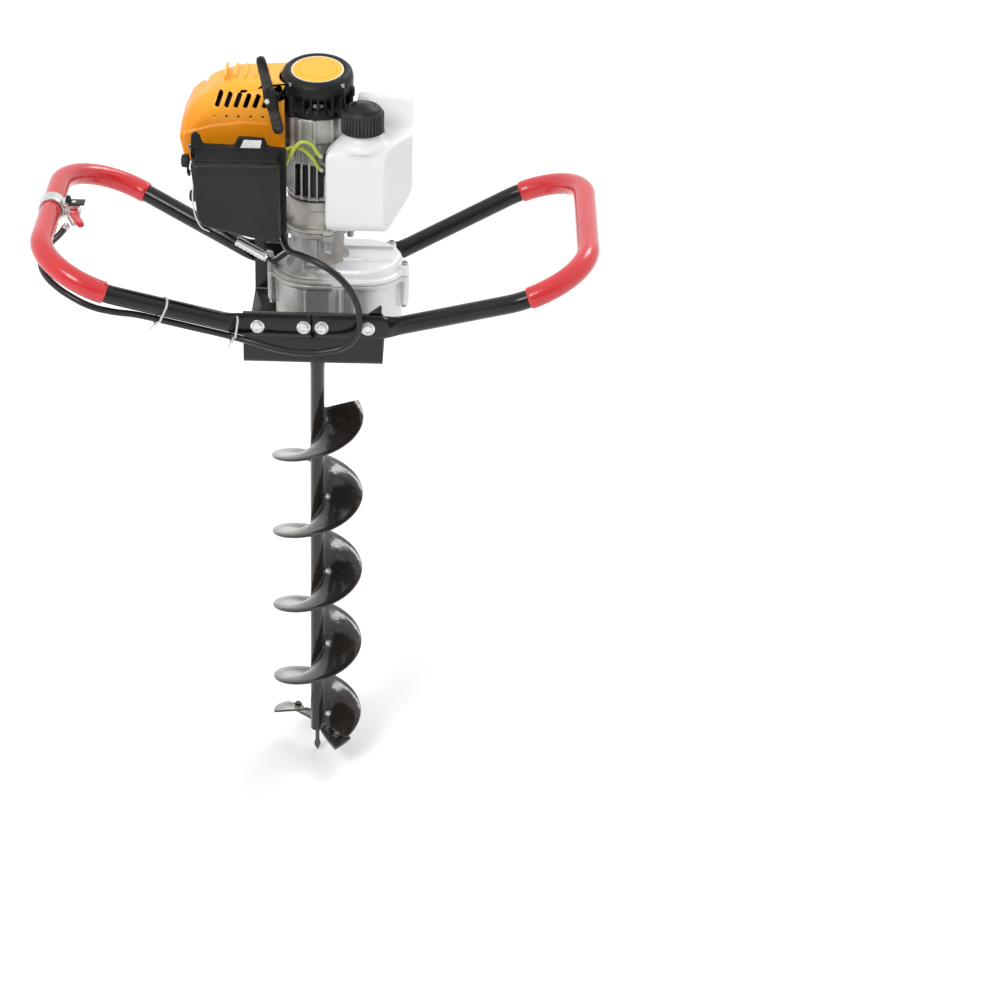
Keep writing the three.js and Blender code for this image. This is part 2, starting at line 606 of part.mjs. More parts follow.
const HANDLE_AT = 78;
part('starter_rope', bar(ROPE_RADIUS, ropePoint(30), ropePoint(HANDLE_AT - 14), 8), blackRubber);
const GRIP_RISE = 6; // the rope enters the grip below its middle
const pullGrip = turned([
  [0, -54], [6, -54], [8, -50], [8, -25], [9, -17], [9, 0], [8, 20], [7, 50], [5, 54], [0, 54],
], 12).translate(0, 0, GRIP_RISE);
part('starter_handle', cut(join(
  pullGrip.rotateY(rad(-13)).translate(...ropePoint(HANDLE_AT)),
  bar(6, ropePoint(HANDLE_AT - 14), ropePoint(HANDLE_AT), 10),
), bar(ROPE_RADIUS + GAP, ropePoint(HANDLE_AT - 20), ropePoint(HANDLE_AT - 13.5), 8)), blackPlastic);

// ---- carburettor and air filter ----
const THROTTLE = { x: -77, y: -58, z: 264 };
const PRIMER = { x: -77, y: -58 };
part('carburettor', cut(join(
  box([-92, -62], [AIR_BACK + GAP, -44], [237, THROTTLE.z]),
  bar(5, [-63, THROTTLE.y, CRANK_Z], [-57, THROTTLE.y, CRANK_Z], 10),
), bar(7, [-80, -90, CRANK_Z], [-80, -30, CRANK_Z], 14),
post(2.8, [THROTTLE.z - 8, THROTTLE.z + 1], THROTTLE.x, THROTTLE.y, 10),
post(8.6, [230, 242.5], PRIMER.x, PRIMER.y, 16)), castAluminium);
part('throttle_lever', join(
  post(2.5, [THROTTLE.z - 6, THROTTLE.z + 5], THROTTLE.x, THROTTLE.y, 10),
  post(7, [THROTTLE.z + GAP, THROTTLE.z + 3], THROTTLE.x, THROTTLE.y, 14),
  box([THROTTLE.x, THROTTLE.x + 12], [THROTTLE.y - 3, THROTTLE.y + 3], [THROTTLE.z + GAP, THROTTLE.z + 3]),
), steel);
part('primer_bulb', turned([[0, 228], [5, 229], [8, 233], [8.2, 237], [8.2, 238], [0, 238]], 16)
  .translate(PRIMER.x, PRIMER.y, 0), hoseYellow);

const airFront = [
  [-162, 285], [-158, 288], [-48, 286], [-44, 282], [-44, 177], [-50, 174], [-146, 196], [-152, 204],
];
const airInside = [
  [-159, 283], [-156, 285], [-50, 283], [-47, 280], [-47, 180], [-52, 178], [-144, 199], [-149, 206],
];
const baseOutline = [
  [-162, 286], [-160, 316], [-155, 318], [-149, 300], [-106, 299], [-101, 311], [-66, 310], [-61, 298],
  [-38, 297], [-38, 176], [-44, 174], [-146, 196], [-152, 204],
];
part('air_filter_base', cut(
  frontSlab(baseOutline, [AIR_BACK - 5, AIR_BACK]),
  bar(7, [-80, -90, CRANK_Z], [-80, -60, CRANK_Z], 14),
), blackPlastic);
part('air_filter_cover', cut(
  frontSlab(airFront, [AIR_FRONT, AIR_BACK - 5 - GAP]),
  frontSlab(airInside, [AIR_FRONT + 3, AIR_BACK]),
), blackPlastic);
const elementOutline = [[-140, 276], [-54, 276], [-54, 196], [-134, 212]];
part('filter_element', frontSlab(elementOutline, [AIR_BACK - 25, AIR_BACK - 5 - GAP]), filterFoam);
const CHOKE = { y: -82, z: 262 };
part('choke_lever', join(
  bar(4, [-163.5, CHOKE.y, CHOKE.z], [-167, CHOKE.y, CHOKE.z], 12),
  box([-168, -165], [CHOKE.y - 3, CHOKE.y + 3], [CHOKE.z, CHOKE.z + 24]),
  bar(5, [-164.5, CHOKE.y, CHOKE.z + 24], [-176, CHOKE.y, CHOKE.z + 24], 12),
), blackPlastic);

// ---- fuel tank ----
const TANK_LOW = 175;
const TANK_TOP = 333;
const tankPlan = [
  [14, -76], [92, -76], [128, -24], [128, 48], [52, 48], [51, -10], [44, -27], [31, -40], [14, -49],
];
const tankSide = [
  [-76, 186], [-68, TANK_LOW], [48, TANK_LOW], [48, TANK_TOP], [24, TANK_TOP], [-6, 300], [-76, 297],
];
const tankFront = [[14, TANK_LOW], [96, TANK_LOW], [128, 216], [128, TANK_TOP], [14, TANK_TOP]];
function tankBody(wall) {
  const middle = new THREE.Vector3(82, -12, 245);
  const shrink = (value, centre, size) => centre + ((value - centre) * (size - wall)) / size;
  const plan = tankPlan.map(([x, y]) => [shrink(x, middle.x, 46), shrink(y, middle.y, 46)]);
  const side = tankSide.map(([y, z]) => [shrink(y, middle.y, 46), shrink(z, middle.z, 80)]);
  const front = tankFront.map(([x, z]) => [shrink(x, middle.x, 46), shrink(z, middle.z, 80)]);
  return common(
    slab(flat(plan), [TANK_LOW - 10, TANK_TOP + 10]),
    sideSlab(side, [-20, 160]),
    frontSlab(front, [-90, 80]),
  );
}
const neckTop = 332;
part('fuel_tank', cut(
  join(tankBody(0), post(20, [TANK_CAP.z - 10, neckTop], TANK_CAP.x, TANK_CAP.y)),
  tankBody(2.5),
  post(16, [TANK_CAP.z - 30, neckTop + 1], TANK_CAP.x, TANK_CAP.y),
), whiteTank);
const capRibs = [];
for (let i = 0; i < 12; i += 1) {
  const rib = box([CAP_RADIUS - 3, CAP_RADIUS], [-1.6, 1.6], [CAP_LOW + 1, CAP_LOW + 26]);
  capRibs.push(rib.rotateZ((2 * Math.PI * i) / 12));
}
const capBody = turned([
  [0, CAP_LOW], [CAP_RADIUS - 1.5, CAP_LOW], [CAP_RADIUS - 1.5, CAP_LOW + 27], [22, CAP_LOW + 34],
  [13, CAP_LOW + 37], [0, CAP_LOW + 38],
], 20);
const CAP_BORE = 20.6;
const capThread = turned([
  [0, CAP_LOW - 4], [CAP_BORE, CAP_LOW - 4], [CAP_BORE, neckTop + 3.4], [0, neckTop + 3.4],
], 24);
const cap = cut(join(capBody, ...capRibs), capThread);
part('fuel_cap', cap.translate(TANK_CAP.x, TANK_CAP.y, 0), blackPlastic);

const spline = (points, steps) => {
  const curve = new THREE.CatmullRomCurve3(points.map((p) => new THREE.Vector3(...p)));
  return curve.getSpacedPoints(steps);
};
const supplyHose = [
  [-61, -66, 243], [-50, -67, 246], [-38, -66, 272], [-22, -62, 298], [-6, -62, 298], [4, -62, 284],
  [10, -62, 278],
];
part('fuel_hose', tube(spline(supplyHose, 14), 2.6, 8), hoseYellow);

// ---- throttle cable and trigger ----
// The cable hangs in an open loop in front of the bracket, then follows the underside of the left rail.
const cableRoute = [
  [-53, -58, 250], [-48.5, -58, 247.5], [-44.5, -59, 234], [-43, -61, 206], [-43, -63, 182],
  [-41, -75, 163], [-33, -94, 158], [-14, -117, 161], [12, -134, 157], [38, -141, 140],
  [56, -143, 115], [63, -143, 87], [61, -143.5, 62], [47, -143, 44], [22, -143, 34],
  [-10, -143, 31], [-44, -142, 35], [-80, -136, 42], [-118, -126, 47], [-156, -139, 62.5],
  [-196, -153, 79], [-232, -166, 93.5], [-264, -177.5, 103], [-290, -182, 112], [-316, -175, 122],
  [-338, -160, 130], [-354, -140, 136], [-363, -116, 141], [-364, -90, 144], [-358, -62, 146],
  [-349, -38, 148], [-341, -14, 151],
];
const CABLE_RADIUS = 4.5;
part('throttle_cable', tube(spline(cableRoute, 48), CABLE_RADIUS, 8), blackRubber);

const TRIGGER = { x: -333, y: 8, z: GRIP_LINE };
part('trigger_clamp', cut(join(
  bar(18.5, [-LOOP_X, -2, GRIP_LINE], [-LOOP_X, 22, GRIP_LINE], 20),
  box([-352, -341], [0.5, 22], [TRIGGER.z - 10, TRIGGER.z + 10]),
  box([-342, -324], [-2, 18], [TRIGGER.z + 4, TRIGGER.z + 8]),
  box([-342, -324], [-2, 18], [TRIGGER.z - 8, TRIGGER.z - 4]),
), bar(GRIP_RADIUS + GAP, [-LOOP_X, -5, GRIP_LINE], [-LOOP_X, 25, GRIP_LINE], 20),
box([-345, -337.5], [6, 18], [TRIGGER.z + 5, TRIGGER.z + 12]),
post(2.8, [TRIGGER.z - 12, TRIGGER.z + 12], TRIGGER.x, TRIGGER.y, 10),
), zinc);
part('stop_switch', join(
  box([-344.7, -337.8], [6.3, 17.7], [TRIGGER.z + 8, TRIGGER.z + 14]),
  box([-343.5, -339], [9, 15], [TRIGGER.z + 13, TRIGGER.z + 16]),
), blackPlastic);
const leverOutline = new THREE.Shape();
leverOutline.moveTo(-6, 4);
leverOutline.quadraticCurveTo(0, 9, 6, 4);
leverOutline.bezierCurveTo(4, -18, 14, -34, 20, -52);
leverOutline.quadraticCurveTo(17, -58, 12, -55);
leverOutline.bezierCurveTo(2, -36, -5, -20, -6, 4);
part('throttle_trigger', join(
  slab(leverOutline, [-3.4, 3.4], 5).translate(TRIGGER.x, TRIGGER.y, TRIGGER.z),
  post(2.5, [TRIGGER.z - 10, TRIGGER.z + 10], TRIGGER.x, TRIGGER.y, 10),
), redGrip);

// ---- bit ----
// A plate wound round the axis: its width runs from the shaft to the rim.
function helicoid([inner, outer], [startAngle, endAngle], startZ, thickness, steps) {
  const plate = new THREE.BoxGeometry(1, thickness, 1, 1, 1, steps);
  const position = plate.attributes.position;
  for (let i = 0; i < position.count; i += 1) {
    const radius = THREE.MathUtils.lerp(inner, outer, position.getX(i) + 0.5);
    const angle = THREE.MathUtils.lerp(startAngle, endAngle, position.getZ(i) + 0.5);
    const height = startZ + ((angle - startAngle) / 360) * PITCH + position.getY(i);
    position.setXYZ(i, radius * Math.cos(rad(angle)), radius * Math.sin(rad(angle)), height);
  }
  return plate;
}

const flightEndAngle = FLIGHT_TOP_ANGLE - 360 * FLIGHT_TURNS;
const FLIGHT_LOW_Z = FLIGHT_TOP_Z - PITCH * FLIGHT_TURNS;
const SOCKET_TOP = -6.3;
function bit() {
  const flight = helicoid(
    [BIT_SHAFT - 2, BIT_RADIUS], [FLIGHT_TOP_ANGLE, flightEndAngle], FLIGHT_TOP_Z, FLIGHT_THICKNESS, 64,
  );
  const secondStart = [flightEndAngle + 180, flightEndAngle + 235];
  const carrier = helicoid([BIT_SHAFT - 2, BIT_RADIUS], secondStart, FLIGHT_LOW_Z, FLIGHT_THICKNESS, 3);
  const shaft = post(BIT_SHAFT, [FLIGHT_LOW_Z - 14, SOCKET_TOP], 0, 0, 12);
  const socket = post(STUB_RADIUS + GAP, [STUB_LOW - 3, 0], 0, 0, 16);
  const tipBore = post(4 + GAP, [FLIGHT_LOW_Z - 20, FLIGHT_LOW_Z + 6], 0, 0, 10);
  return cut(join(shaft, flight, carrier), socket, tipBore, pinHole(3 + GAP));
}
part('auger_bit', bit(), flightSteel);
part('coupling_pin', bar(3, [0, -15, PIN_Z], [0, 15, PIN_Z], 10), zinc);

const BLADE_DROP = FLIGHT_THICKNESS + 1.8;
['right', 'left'].forEach((name, i) => {
  const start = flightEndAngle + 180 * i + 6;
  const startZ = FLIGHT_LOW_Z - BLADE_DROP + (6 / 360) * PITCH;
  const plate = helicoid([BIT_SHAFT + 4, BIT_RADIUS + 2], [start, start - 26], startZ, 4, 3);
  part(`cutting_blade_${name}`, plate, steel);
});
part('pilot_tip', turned([
  [0, BIT_TIP_Z], [2, BIT_TIP_Z + 2], [4.6, BIT_TIP_Z + 8], [4.6, BIT_TIP_Z + 14], [3, BIT_TIP_Z + 18],
  [4, FLIGHT_LOW_Z - 16], [4, FLIGHT_LOW_Z + 4], [0, FLIGHT_LOW_Z + 4],
], 12), steel);

auger.position.z = -GRIP_LINE;

export default auger;
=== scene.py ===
"""Looks for the petrol ice auger, in metres. Heights in at() start at the underside of the bracket."""
import math

import bmesh
import bpy
from mathutils import Matrix, Vector, noise


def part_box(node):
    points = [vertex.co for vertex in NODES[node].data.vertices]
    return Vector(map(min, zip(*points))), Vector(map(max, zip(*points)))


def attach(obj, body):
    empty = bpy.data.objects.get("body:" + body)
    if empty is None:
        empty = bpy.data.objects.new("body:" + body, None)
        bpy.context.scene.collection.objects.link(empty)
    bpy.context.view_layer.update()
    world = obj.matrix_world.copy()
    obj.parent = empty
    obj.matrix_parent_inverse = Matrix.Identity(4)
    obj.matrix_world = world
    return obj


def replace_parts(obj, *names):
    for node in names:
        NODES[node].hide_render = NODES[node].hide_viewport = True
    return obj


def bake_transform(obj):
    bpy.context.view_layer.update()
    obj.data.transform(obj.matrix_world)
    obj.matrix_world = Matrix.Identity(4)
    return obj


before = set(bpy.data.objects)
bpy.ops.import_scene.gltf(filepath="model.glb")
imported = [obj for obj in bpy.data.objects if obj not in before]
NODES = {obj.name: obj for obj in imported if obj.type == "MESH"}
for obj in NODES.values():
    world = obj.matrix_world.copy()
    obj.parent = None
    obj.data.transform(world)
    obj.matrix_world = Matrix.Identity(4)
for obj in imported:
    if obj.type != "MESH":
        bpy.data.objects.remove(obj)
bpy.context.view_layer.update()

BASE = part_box("frame_bracket")[0].z
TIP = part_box("pilot_tip")[0].z
UP = Vector((0, 0, 1))


def at(x, y, height):
    """A point in the frame from its place across, back and above the bracket's underside."""
    return Vector((x, y, BASE + height))


def polar(radius, degrees, height):
    angle = math.radians(degrees)
    return at(radius * math.cos(angle), radius * math.sin(angle), height)


# ---- camera, floor and light ----
AZIMUTH = math.radians(3)
ELEVATION = math.radians(26)
CAMERA_DISTANCE = 4.0
AIM_DOWN = 0.240
LENS = 103.7
LENS_SHIFT = 0.1825
FAR_CLIP = 200


def make_camera():
    """Looks from the front and above, with the object left of and above the middle of the picture."""
    level = math.cos(ELEVATION)
    forward = Vector((-math.sin(AZIMUTH) * level, math.cos(AZIMUTH) * level, -math.sin(ELEVATION)))
    right = Vector((math.cos(AZIMUTH), math.sin(AZIMUTH), 0))
    aim = at(0, 0, 0)
    target = aim - right.cross(forward) * AIM_DOWN
    camera = bpy.data.objects.new("camera", bpy.data.cameras.new("camera"))
    bpy.context.scene.collection.objects.link(camera)
    camera.location = aim - forward * CAMERA_DISTANCE
    camera.rotation_euler = (target - camera.location).to_track_quat("-Z", "Y").to_euler()
    camera.data.lens = LENS
    camera.data.shift_x = LENS_SHIFT
    camera.data.clip_end = FAR_CLIP
    bpy.context.scene.camera = camera


def area_light(name, place, target, size, power):
    light = bpy.data.lights.new(name, "AREA")
    light.shape = "RECTANGLE"
    light.size, light.size_y = size
    light.energy = power
    holder = bpy.data.objects.new(name, light)
    bpy.context.scene.collection.objects.link(holder)
    holder.location = place
    holder.rotation_euler = (Vector(target) - Vector(place)).to_track_quat("-Z", "Y").to_euler()


FRONT_LIGHT, BACK_LIGHT = 0.4, 1.0
FADE_FROM, FADE_TO = -0.95, -0.25


def make_world():
    """White to the eye all round, and a little darker in front of the object, so that gloss shows."""
    world = bpy.data.worlds.new("studio")
    world.use_nodes = True
    tree = world.node_tree
    background = tree.nodes["Background"]
    background.inputs["Color"].default_value = (1, 1, 1, 1)
    direction = tree.nodes.new("ShaderNodeTexCoord")
    split = tree.nodes.new("ShaderNodeSeparateXYZ")
    light_fade = tree.nodes.new("ShaderNodeMapRange")
    light_fade.interpolation_type = "SMOOTHSTEP"
    light_fade.inputs["From Min"].default_value = FADE_FROM
    light_fade.inputs["From Max"].default_value = FADE_TO
    light_fade.inputs["To Min"].default_value = FRONT_LIGHT
    light_fade.inputs["To Max"].default_value = BACK_LIGHT
    seen = tree.nodes.new("ShaderNodeLightPath")
    choose = tree.nodes.new("ShaderNodeMix")
    tree.links.new(direction.outputs["Generated"], split.inputs["Vector"])
    tree.links.new(split.outputs["Y"], light_fade.inputs["Value"])
    tree.links.new(seen.outputs["Is Camera Ray"], choose.inputs["Factor"])
    tree.links.new(light_fade.outputs["Result"], choose.inputs["A"])
    choose.inputs["B"].default_value = 1.0
    tree.links.new(choose.outputs["Result"], background.inputs["Strength"])
    bpy.context.scene.world = world


SUN_POWER = 0.75
SUN_SPREAD = math.radians(25)
SUN_HEADING = Vector((0.5, 0.9, -1.1))


def make_sun():
    light = bpy.data.lights.new("sun", "SUN")
    light.energy = SUN_POWER
    light.angle = SUN_SPREAD
    holder = bpy.data.objects.new("sun", light)
    bpy.context.scene.collection.objects.link(holder)
    holder.rotation_euler = SUN_HEADING.to_track_quat("-Z", "Y").to_euler()


KEY_POWER, RIM_POWER = 22, 26
FLOOR_HALF = 40


def make_studio():
    make_world()
    make_sun()
    middle = (0, 0, -0.1)
    area_light("key", (-1.5, -2.6, 2.2), middle, (0.9, 0.7), KEY_POWER)
    area_light("rim", (1.6, 2.2, 2.4), middle, (1.2, 0.8), RIM_POWER)
    mesh = bpy.data.meshes.new("floor")
    corners = [(x * FLOOR_HALF, y * FLOOR_HALF, TIP) for x, y in ((-1, -1), (1, -1), (1, 1), (-1, 1))]
    mesh.from_pydata(corners, [], [(0, 1, 2, 3)])
    floor = bpy.data.objects.new("floor", mesh)
    bpy.context.scene.collection.objects.link(floor)
    mesh.materials.append(surface("floor_white", (0.95, 0.95, 0.95), 0.8, specks=0.004, scale=3,
                                  specular=0.1))


# ---- materials ----
GLOSS_IOR = 1.5
COAT_ROUGHNESS = 0.06
SHEEN_ROUGHNESS = 0.35
SHEEN_TINT = (0.9, 0.86, 0.8, 1)
GLOW_RADIUS = (0.02, 0.02, 0.02)
GLOW_SCALE = 0.3
CLOUD_DETAIL = 6
CLOUD_ROUGHNESS = 0.65
TONE_FROM, TONE_TO = 0.35, 0.68
GLOSS_SPREAD = (0.8, 1.25)
RELIEF_DETAIL = 3
RELIEF_DEPTH = 0.6


def surface(name, colour, roughness, metallic=0.0, *, second=None, specks=0.25, scale=30, grain=600,
            bump=0.0, fine=0.0, wear=None, coat=0.0, specular=0.5, soft=0.0, streak=None, light_fade=None,
            sheen=0.0):
    """A procedural finish: two tones in a cloudy pattern, a lighter colour painted in along an axis as
    painted light over the lit side or top, uneven gloss, a coarse and a fine relief, and worn or dusty
    edges."""
    material = bpy.data.materials.new(name)
    material.use_nodes = True
    tree = material.node_tree
    shader = tree.nodes["Principled BSDF"]
    link = tree.links.new

    def node(kind, **values):
        made = tree.nodes.new(kind)
        for key, value in values.items():
            setattr(made, key, value)
        return made

    place = node("ShaderNodeTexCoord").outputs["Object"]
    if streak:
        mapping = node("ShaderNodeMapping")
        mapping.inputs["Scale"].default_value = streak
        link(place, mapping.inputs["Vector"])
        place = mapping.outputs["Vector"]
    cloud = node("ShaderNodeTexNoise")
    cloud.inputs["Scale"].default_value = scale
    cloud.inputs["Detail"].default_value = CLOUD_DETAIL
    cloud.inputs["Roughness"].default_value = CLOUD_ROUGHNESS
    link(place, cloud.inputs["Vector"])
    ramp = node("ShaderNodeValToRGB")
    ramp.color_ramp.elements[0].position = TONE_FROM
    ramp.color_ramp.elements[1].position = TONE_TO
    tone = second or tuple(c * (1 - specks) for c in colour)
    ramp.color_ramp.elements[0].color = (*tone, 1)
    ramp.color_ramp.elements[1].color = (*colour, 1)
    link(cloud.outputs["Fac"], ramp.inputs["Fac"])
    tint = ramp.outputs["Color"]
    # Painted light: a lighter colour painted in along one axis, over the side or top where light falls.
    if light_fade:
        upper, low, high, axis = light_fade
        split = node("ShaderNodeSeparateXYZ")
        link(place, split.inputs["Vector"])
        rise = node("ShaderNodeMapRange")
        rise.inputs["From Min"].default_value = low
        rise.inputs["From Max"].default_value = high
        link(split.outputs[axis], rise.inputs["Value"])
        blend = node("ShaderNodeMix", data_type="RGBA")
        link(rise.outputs["Result"], blend.inputs["Factor"])
        link(tint, blend.inputs["A"])
        blend.inputs["B"].default_value = (*upper, 1)
        tint = blend.outputs["Result"]
    if wear:
        worn, low, high = wear
        edge = node("ShaderNodeMapRange")
        edge.inputs["From Min"].default_value = low
        edge.inputs["From Max"].default_value = high
        link(node("ShaderNodeNewGeometry").outputs["Pointiness"], edge.inputs["Value"])
        patchy = node("ShaderNodeMath", operation="MULTIPLY")
        link(edge.outputs["Result"], patchy.inputs[0])
        link(cloud.outputs["Fac"], patchy.inputs[1])
        mix = node("ShaderNodeMix", data_type="RGBA")
        link(patchy.outputs["Value"], mix.inputs["Factor"])
        link(tint, mix.inputs["A"])
        mix.inputs["B"].default_value = (*worn, 1)
        tint = mix.outputs["Result"]
    link(tint, shader.inputs["Base Color"])
    gloss = node("ShaderNodeMapRange")
    gloss.inputs["To Min"].default_value = max(0.02, roughness * GLOSS_SPREAD[0])
    gloss.inputs["To Max"].default_value = min(1, roughness * GLOSS_SPREAD[1])
    link(cloud.outputs["Fac"], gloss.inputs["Value"])
    link(gloss.outputs["Result"], shader.inputs["Roughness"])
    shader.inputs["Metallic"].default_value = metallic
    shader.inputs["Coat Weight"].default_value = coat
    shader.inputs["Coat Roughness"].default_value = COAT_ROUGHNESS
    shader.inputs["Specular IOR Level"].default_value = specular
    shader.inputs["IOR"].default_value = GLOSS_IOR
    shader.inputs["Sheen Weight"].default_value = sheen
    shader.inputs["Sheen Roughness"].default_value = SHEEN_ROUGHNESS
    shader.inputs["Sheen Tint"].default_value = SHEEN_TINT
    shader.inputs["Subsurface Weight"].default_value = soft
    shader.inputs["Subsurface Radius"].default_value = GLOW_RADIUS
    shader.inputs["Subsurface Scale"].default_value = GLOW_SCALE
    normal = None
    for strength, size in ((bump, scale * 4), (fine, grain)):
        if strength <= 0:
            continue
        relief = node("ShaderNodeTexNoise")
        relief.inputs["Scale"].default_value = size
        relief.inputs["Detail"].default_value = RELIEF_DETAIL
        link(place, relief.inputs["Vector"])
        lift = node("ShaderNodeBump")
        lift.inputs["Strength"].default_value = strength
        lift.inputs["Distance"].default_value = RELIEF_DEPTH / size
        link(relief.outputs["Fac"], lift.inputs["Height"])
        if normal:
            link(normal, lift.inputs["Normal"])
        normal = lift.outputs["Normal"]
    if normal:
        link(normal, shader.inputs["Normal"])
    return material


black_paint = surface("black_stove_paint", (0.006, 0.006, 0.0065), 0.2, specks=0.5, scale=14, bump=0.05,
                      fine=0.06,
                      grain=420, coat=0.25, specular=0.3, wear=((0.05, 0.05, 0.05), 0.53, 0.62))
red_vinyl = surface("red_vinyl", (0.66, 0.022, 0.03), 0.22, specks=0.16, scale=22, bump=0.05, fine=0.05,
                    grain=260, coat=0.35)
cast_alloy = surface("cast_aluminium", (0.5, 0.49, 0.475), 0.4, 0.62, second=(0.27, 0.262, 0.25), scale=24,
                     bump=0.14, fine=0.3,
                     grain=900, wear=((0.8, 0.79, 0.77), 0.515, 0.58))
warm_alloy = surface("cast_aluminium_housing", (0.56, 0.535, 0.49), 0.44, 0.45, second=(0.42, 0.4, 0.37),
                     scale=20, bump=0.1, fine=0.3,
                     grain=900, wear=((0.75, 0.73, 0.69), 0.52, 0.6))
# Painted light and shadow: the lid is painted much lighter towards its right side, where light falls, and
# stays darker on the left as painted shadow.
lid_alloy_painted_light = surface("cast_aluminium_lid_painted_light", (0.46, 0.45, 0.43), 0.42, 0.3, second=(0.26, 0.255, 0.245),
                       scale=18, bump=0.1, fine=0.3,
                       grain=900, wear=((0.92, 0.92, 0.92), 0.53, 0.62),
                       light_fade=((0.82, 0.83, 0.845), 0.002, 0.030, "X"))
# Painted light: the lower casting is painted lighter towards its right side, where light falls.
case_alloy_painted_light = surface("cast_aluminium_case_painted_light", (0.56, 0.55, 0.53), 0.4, 0.5, second=(0.36, 0.35, 0.335),
                     scale=24, bump=0.12, fine=0.3,
                     grain=900, wear=((0.8, 0.79, 0.77), 0.52, 0.6),
                     light_fade=((0.7, 0.7, 0.7), 0.0, 0.090, "X"))
machined = surface("machined_steel", (0.5, 0.5, 0.5), 0.28, 1.0, specks=0.2, scale=60, fine=0.15, grain=900,
                   streak=(1, 1, 9))
zinc = surface("bright_zinc", (0.82, 0.83, 0.84), 0.24, 0.9, second=(0.62, 0.64, 0.62), scale=70, bump=0.06,
               fine=0.08)
# Painted light: the orange is painted lighter and yellower towards the top, where light falls from above.
orange_plastic = surface("orange_plastic", (0.9, 0.3, 0.006), 0.34, specks=0.08, scale=9, bump=0.03,
                         fine=0.12, grain=1500,
                         soft=0.05, coat=0.08, specular=0.35, wear=((1.0, 0.5, 0.08), 0.52, 0.6),
                         light_fade=((0.93, 0.47, 0.03), at(0, 0, 0.318).z, at(0, 0, 0.372).z, "Z"))
black_plastic = surface("black_plastic", (0.009, 0.0088, 0.0085), 0.4, specular=0.25, specks=0.35, scale=16,
                        bump=0.08, fine=0.35, grain=1100,
                        wear=((0.075, 0.072, 0.068), 0.52, 0.6))
box_plastic = surface("filter_box_plastic", (0.02, 0.0185, 0.018), 0.38, specular=0.3,
                      second=(0.013, 0.0105, 0.0095), scale=8, bump=0.1, fine=0.35,
                      grain=1000, wear=((0.1, 0.095, 0.09), 0.515, 0.58))
white_tank = surface("milky_tank", (0.8, 0.805, 0.81), 0.3, specks=0.03, scale=8, bump=0.03, fine=0.08,
                     grain=700, soft=0.6, coat=0.1)
hose_yellow = surface("hose_yellow", (0.5, 0.56, 0.05), 0.2, second=(0.36, 0.43, 0.04), scale=60, fine=0.05,
                      soft=0.3, coat=0.4)
rubber = surface("black_rubber", (0.009, 0.009, 0.009), 0.34, specular=0.4, specks=0.3, scale=40, bump=0.05,
                 fine=0.2, grain=800, coat=0.2)
flight_paint = surface("flight_paint", (0.009, 0.0078, 0.0068), 0.16, 0.1, second=(0.016, 0.012, 0.0095),
                       scale=12, bump=0.12,
                       fine=0.08, grain=300, coat=0.45, specular=0.4, sheen=0.55,
                       wear=((0.2, 0.19, 0.17), 0.55, 0.68))
blade_steel = surface("blade_steel", (0.16, 0.155, 0.15), 0.3, 0.9, second=(0.06, 0.055, 0.05), scale=30,
                      bump=0.15, fine=0.15)
pale_rim = surface("pale_rim", (0.85, 0.8, 0.66), 0.35, 0.1, specks=0.1, scale=50, fine=0.1)
nylon = surface("nylon_tie", (0.62, 0.62, 0.58), 0.35, specks=0.08, scale=60, fine=0.15, soft=0.2)
grey_hose = surface("grey_hose", (0.22, 0.22, 0.21), 0.35, specks=0.2, scale=60, fine=0.1, coat=0.2)
sticker = surface("plain_sticker", (0.86, 0.86, 0.85), 0.4, second=(0.7, 0.7, 0.7), scale=90, fine=0.1)
scorched = surface("scorched_steel", (0.3, 0.27, 0.24), 0.42, 0.85, second=(0.13, 0.1, 0.08), scale=14,
                   bump=0.1, fine=0.25)
foam = surface("filter_foam", (0.05, 0.05, 0.05), 0.9, specks=0.5, scale=200, fine=0.9, grain=700)
brass = surface("brass", (0.62, 0.44, 0.14), 0.25, 1.0, specks=0.2, scale=80, fine=0.1)


# ---- shapes: each is a list of corners and a list of faces ----
def joined(*shapes):
    verts, faces = [], []
    for part_verts, part_faces in shapes:
        offset = len(verts)
        verts += part_verts
        faces += [tuple(i + offset for i in face) for face in part_faces]
    return verts, faces


def rings(loops, capped=True, looped=False):
    """Skin over closed loops of the same number of points."""
    count = len(loops[0])
    verts = [Vector(p) for loop in loops for p in loop]
    faces = []
    pairs = len(loops) if looped else len(loops) - 1
    for k in range(pairs):
        low, high = k * count, ((k + 1) % len(loops)) * count
        for i in range(count):
            j = (i + 1) % count
            faces.append((low + i, low + j, high + j, high + i))
    if capped and not looped:
        faces.append(tuple(reversed(range(count))))
        faces.append(tuple(range((len(loops) - 1) * count, len(loops) * count)))
    return verts, faces


def turned(profile, origin=None, axis=UP, steps=48):
    """A profile of (radius, distance along the axis) pairs, turned about that axis. A closed profile ends
    where it starts."""
    origin = at(0, 0, 0) if origin is None else origin
    axis = axis.normalized()
    side = axis.orthogonal().normalized()
    other = axis.cross(side)
    hollow = profile[0] == profile[-1]
    stations = profile[:-1] if hollow else profile
    loops = []
    for radius, distance in stations:
        radius = max(radius, 0.00002)
        loops.append([origin + axis * distance + (side * math.cos(a) + other * math.sin(a)) * radius
                      for a in (2 * math.pi * i / steps for i in range(steps))])
    return rings(loops, capped=not hollow, looped=hollow)


def rod(start, end, radius, chamfer=0.0004, steps=20):
    start, end = Vector(start), Vector(end)
    length = (end - start).length
    profile = [(radius - chamfer, 0), (radius, chamfer), (radius, length - chamfer),
               (radius - chamfer, length)]
    return turned(profile, start, end - start, steps)


def hexagon(start, end, radius):
    return rod(start, end, radius, 0.0006, 6)


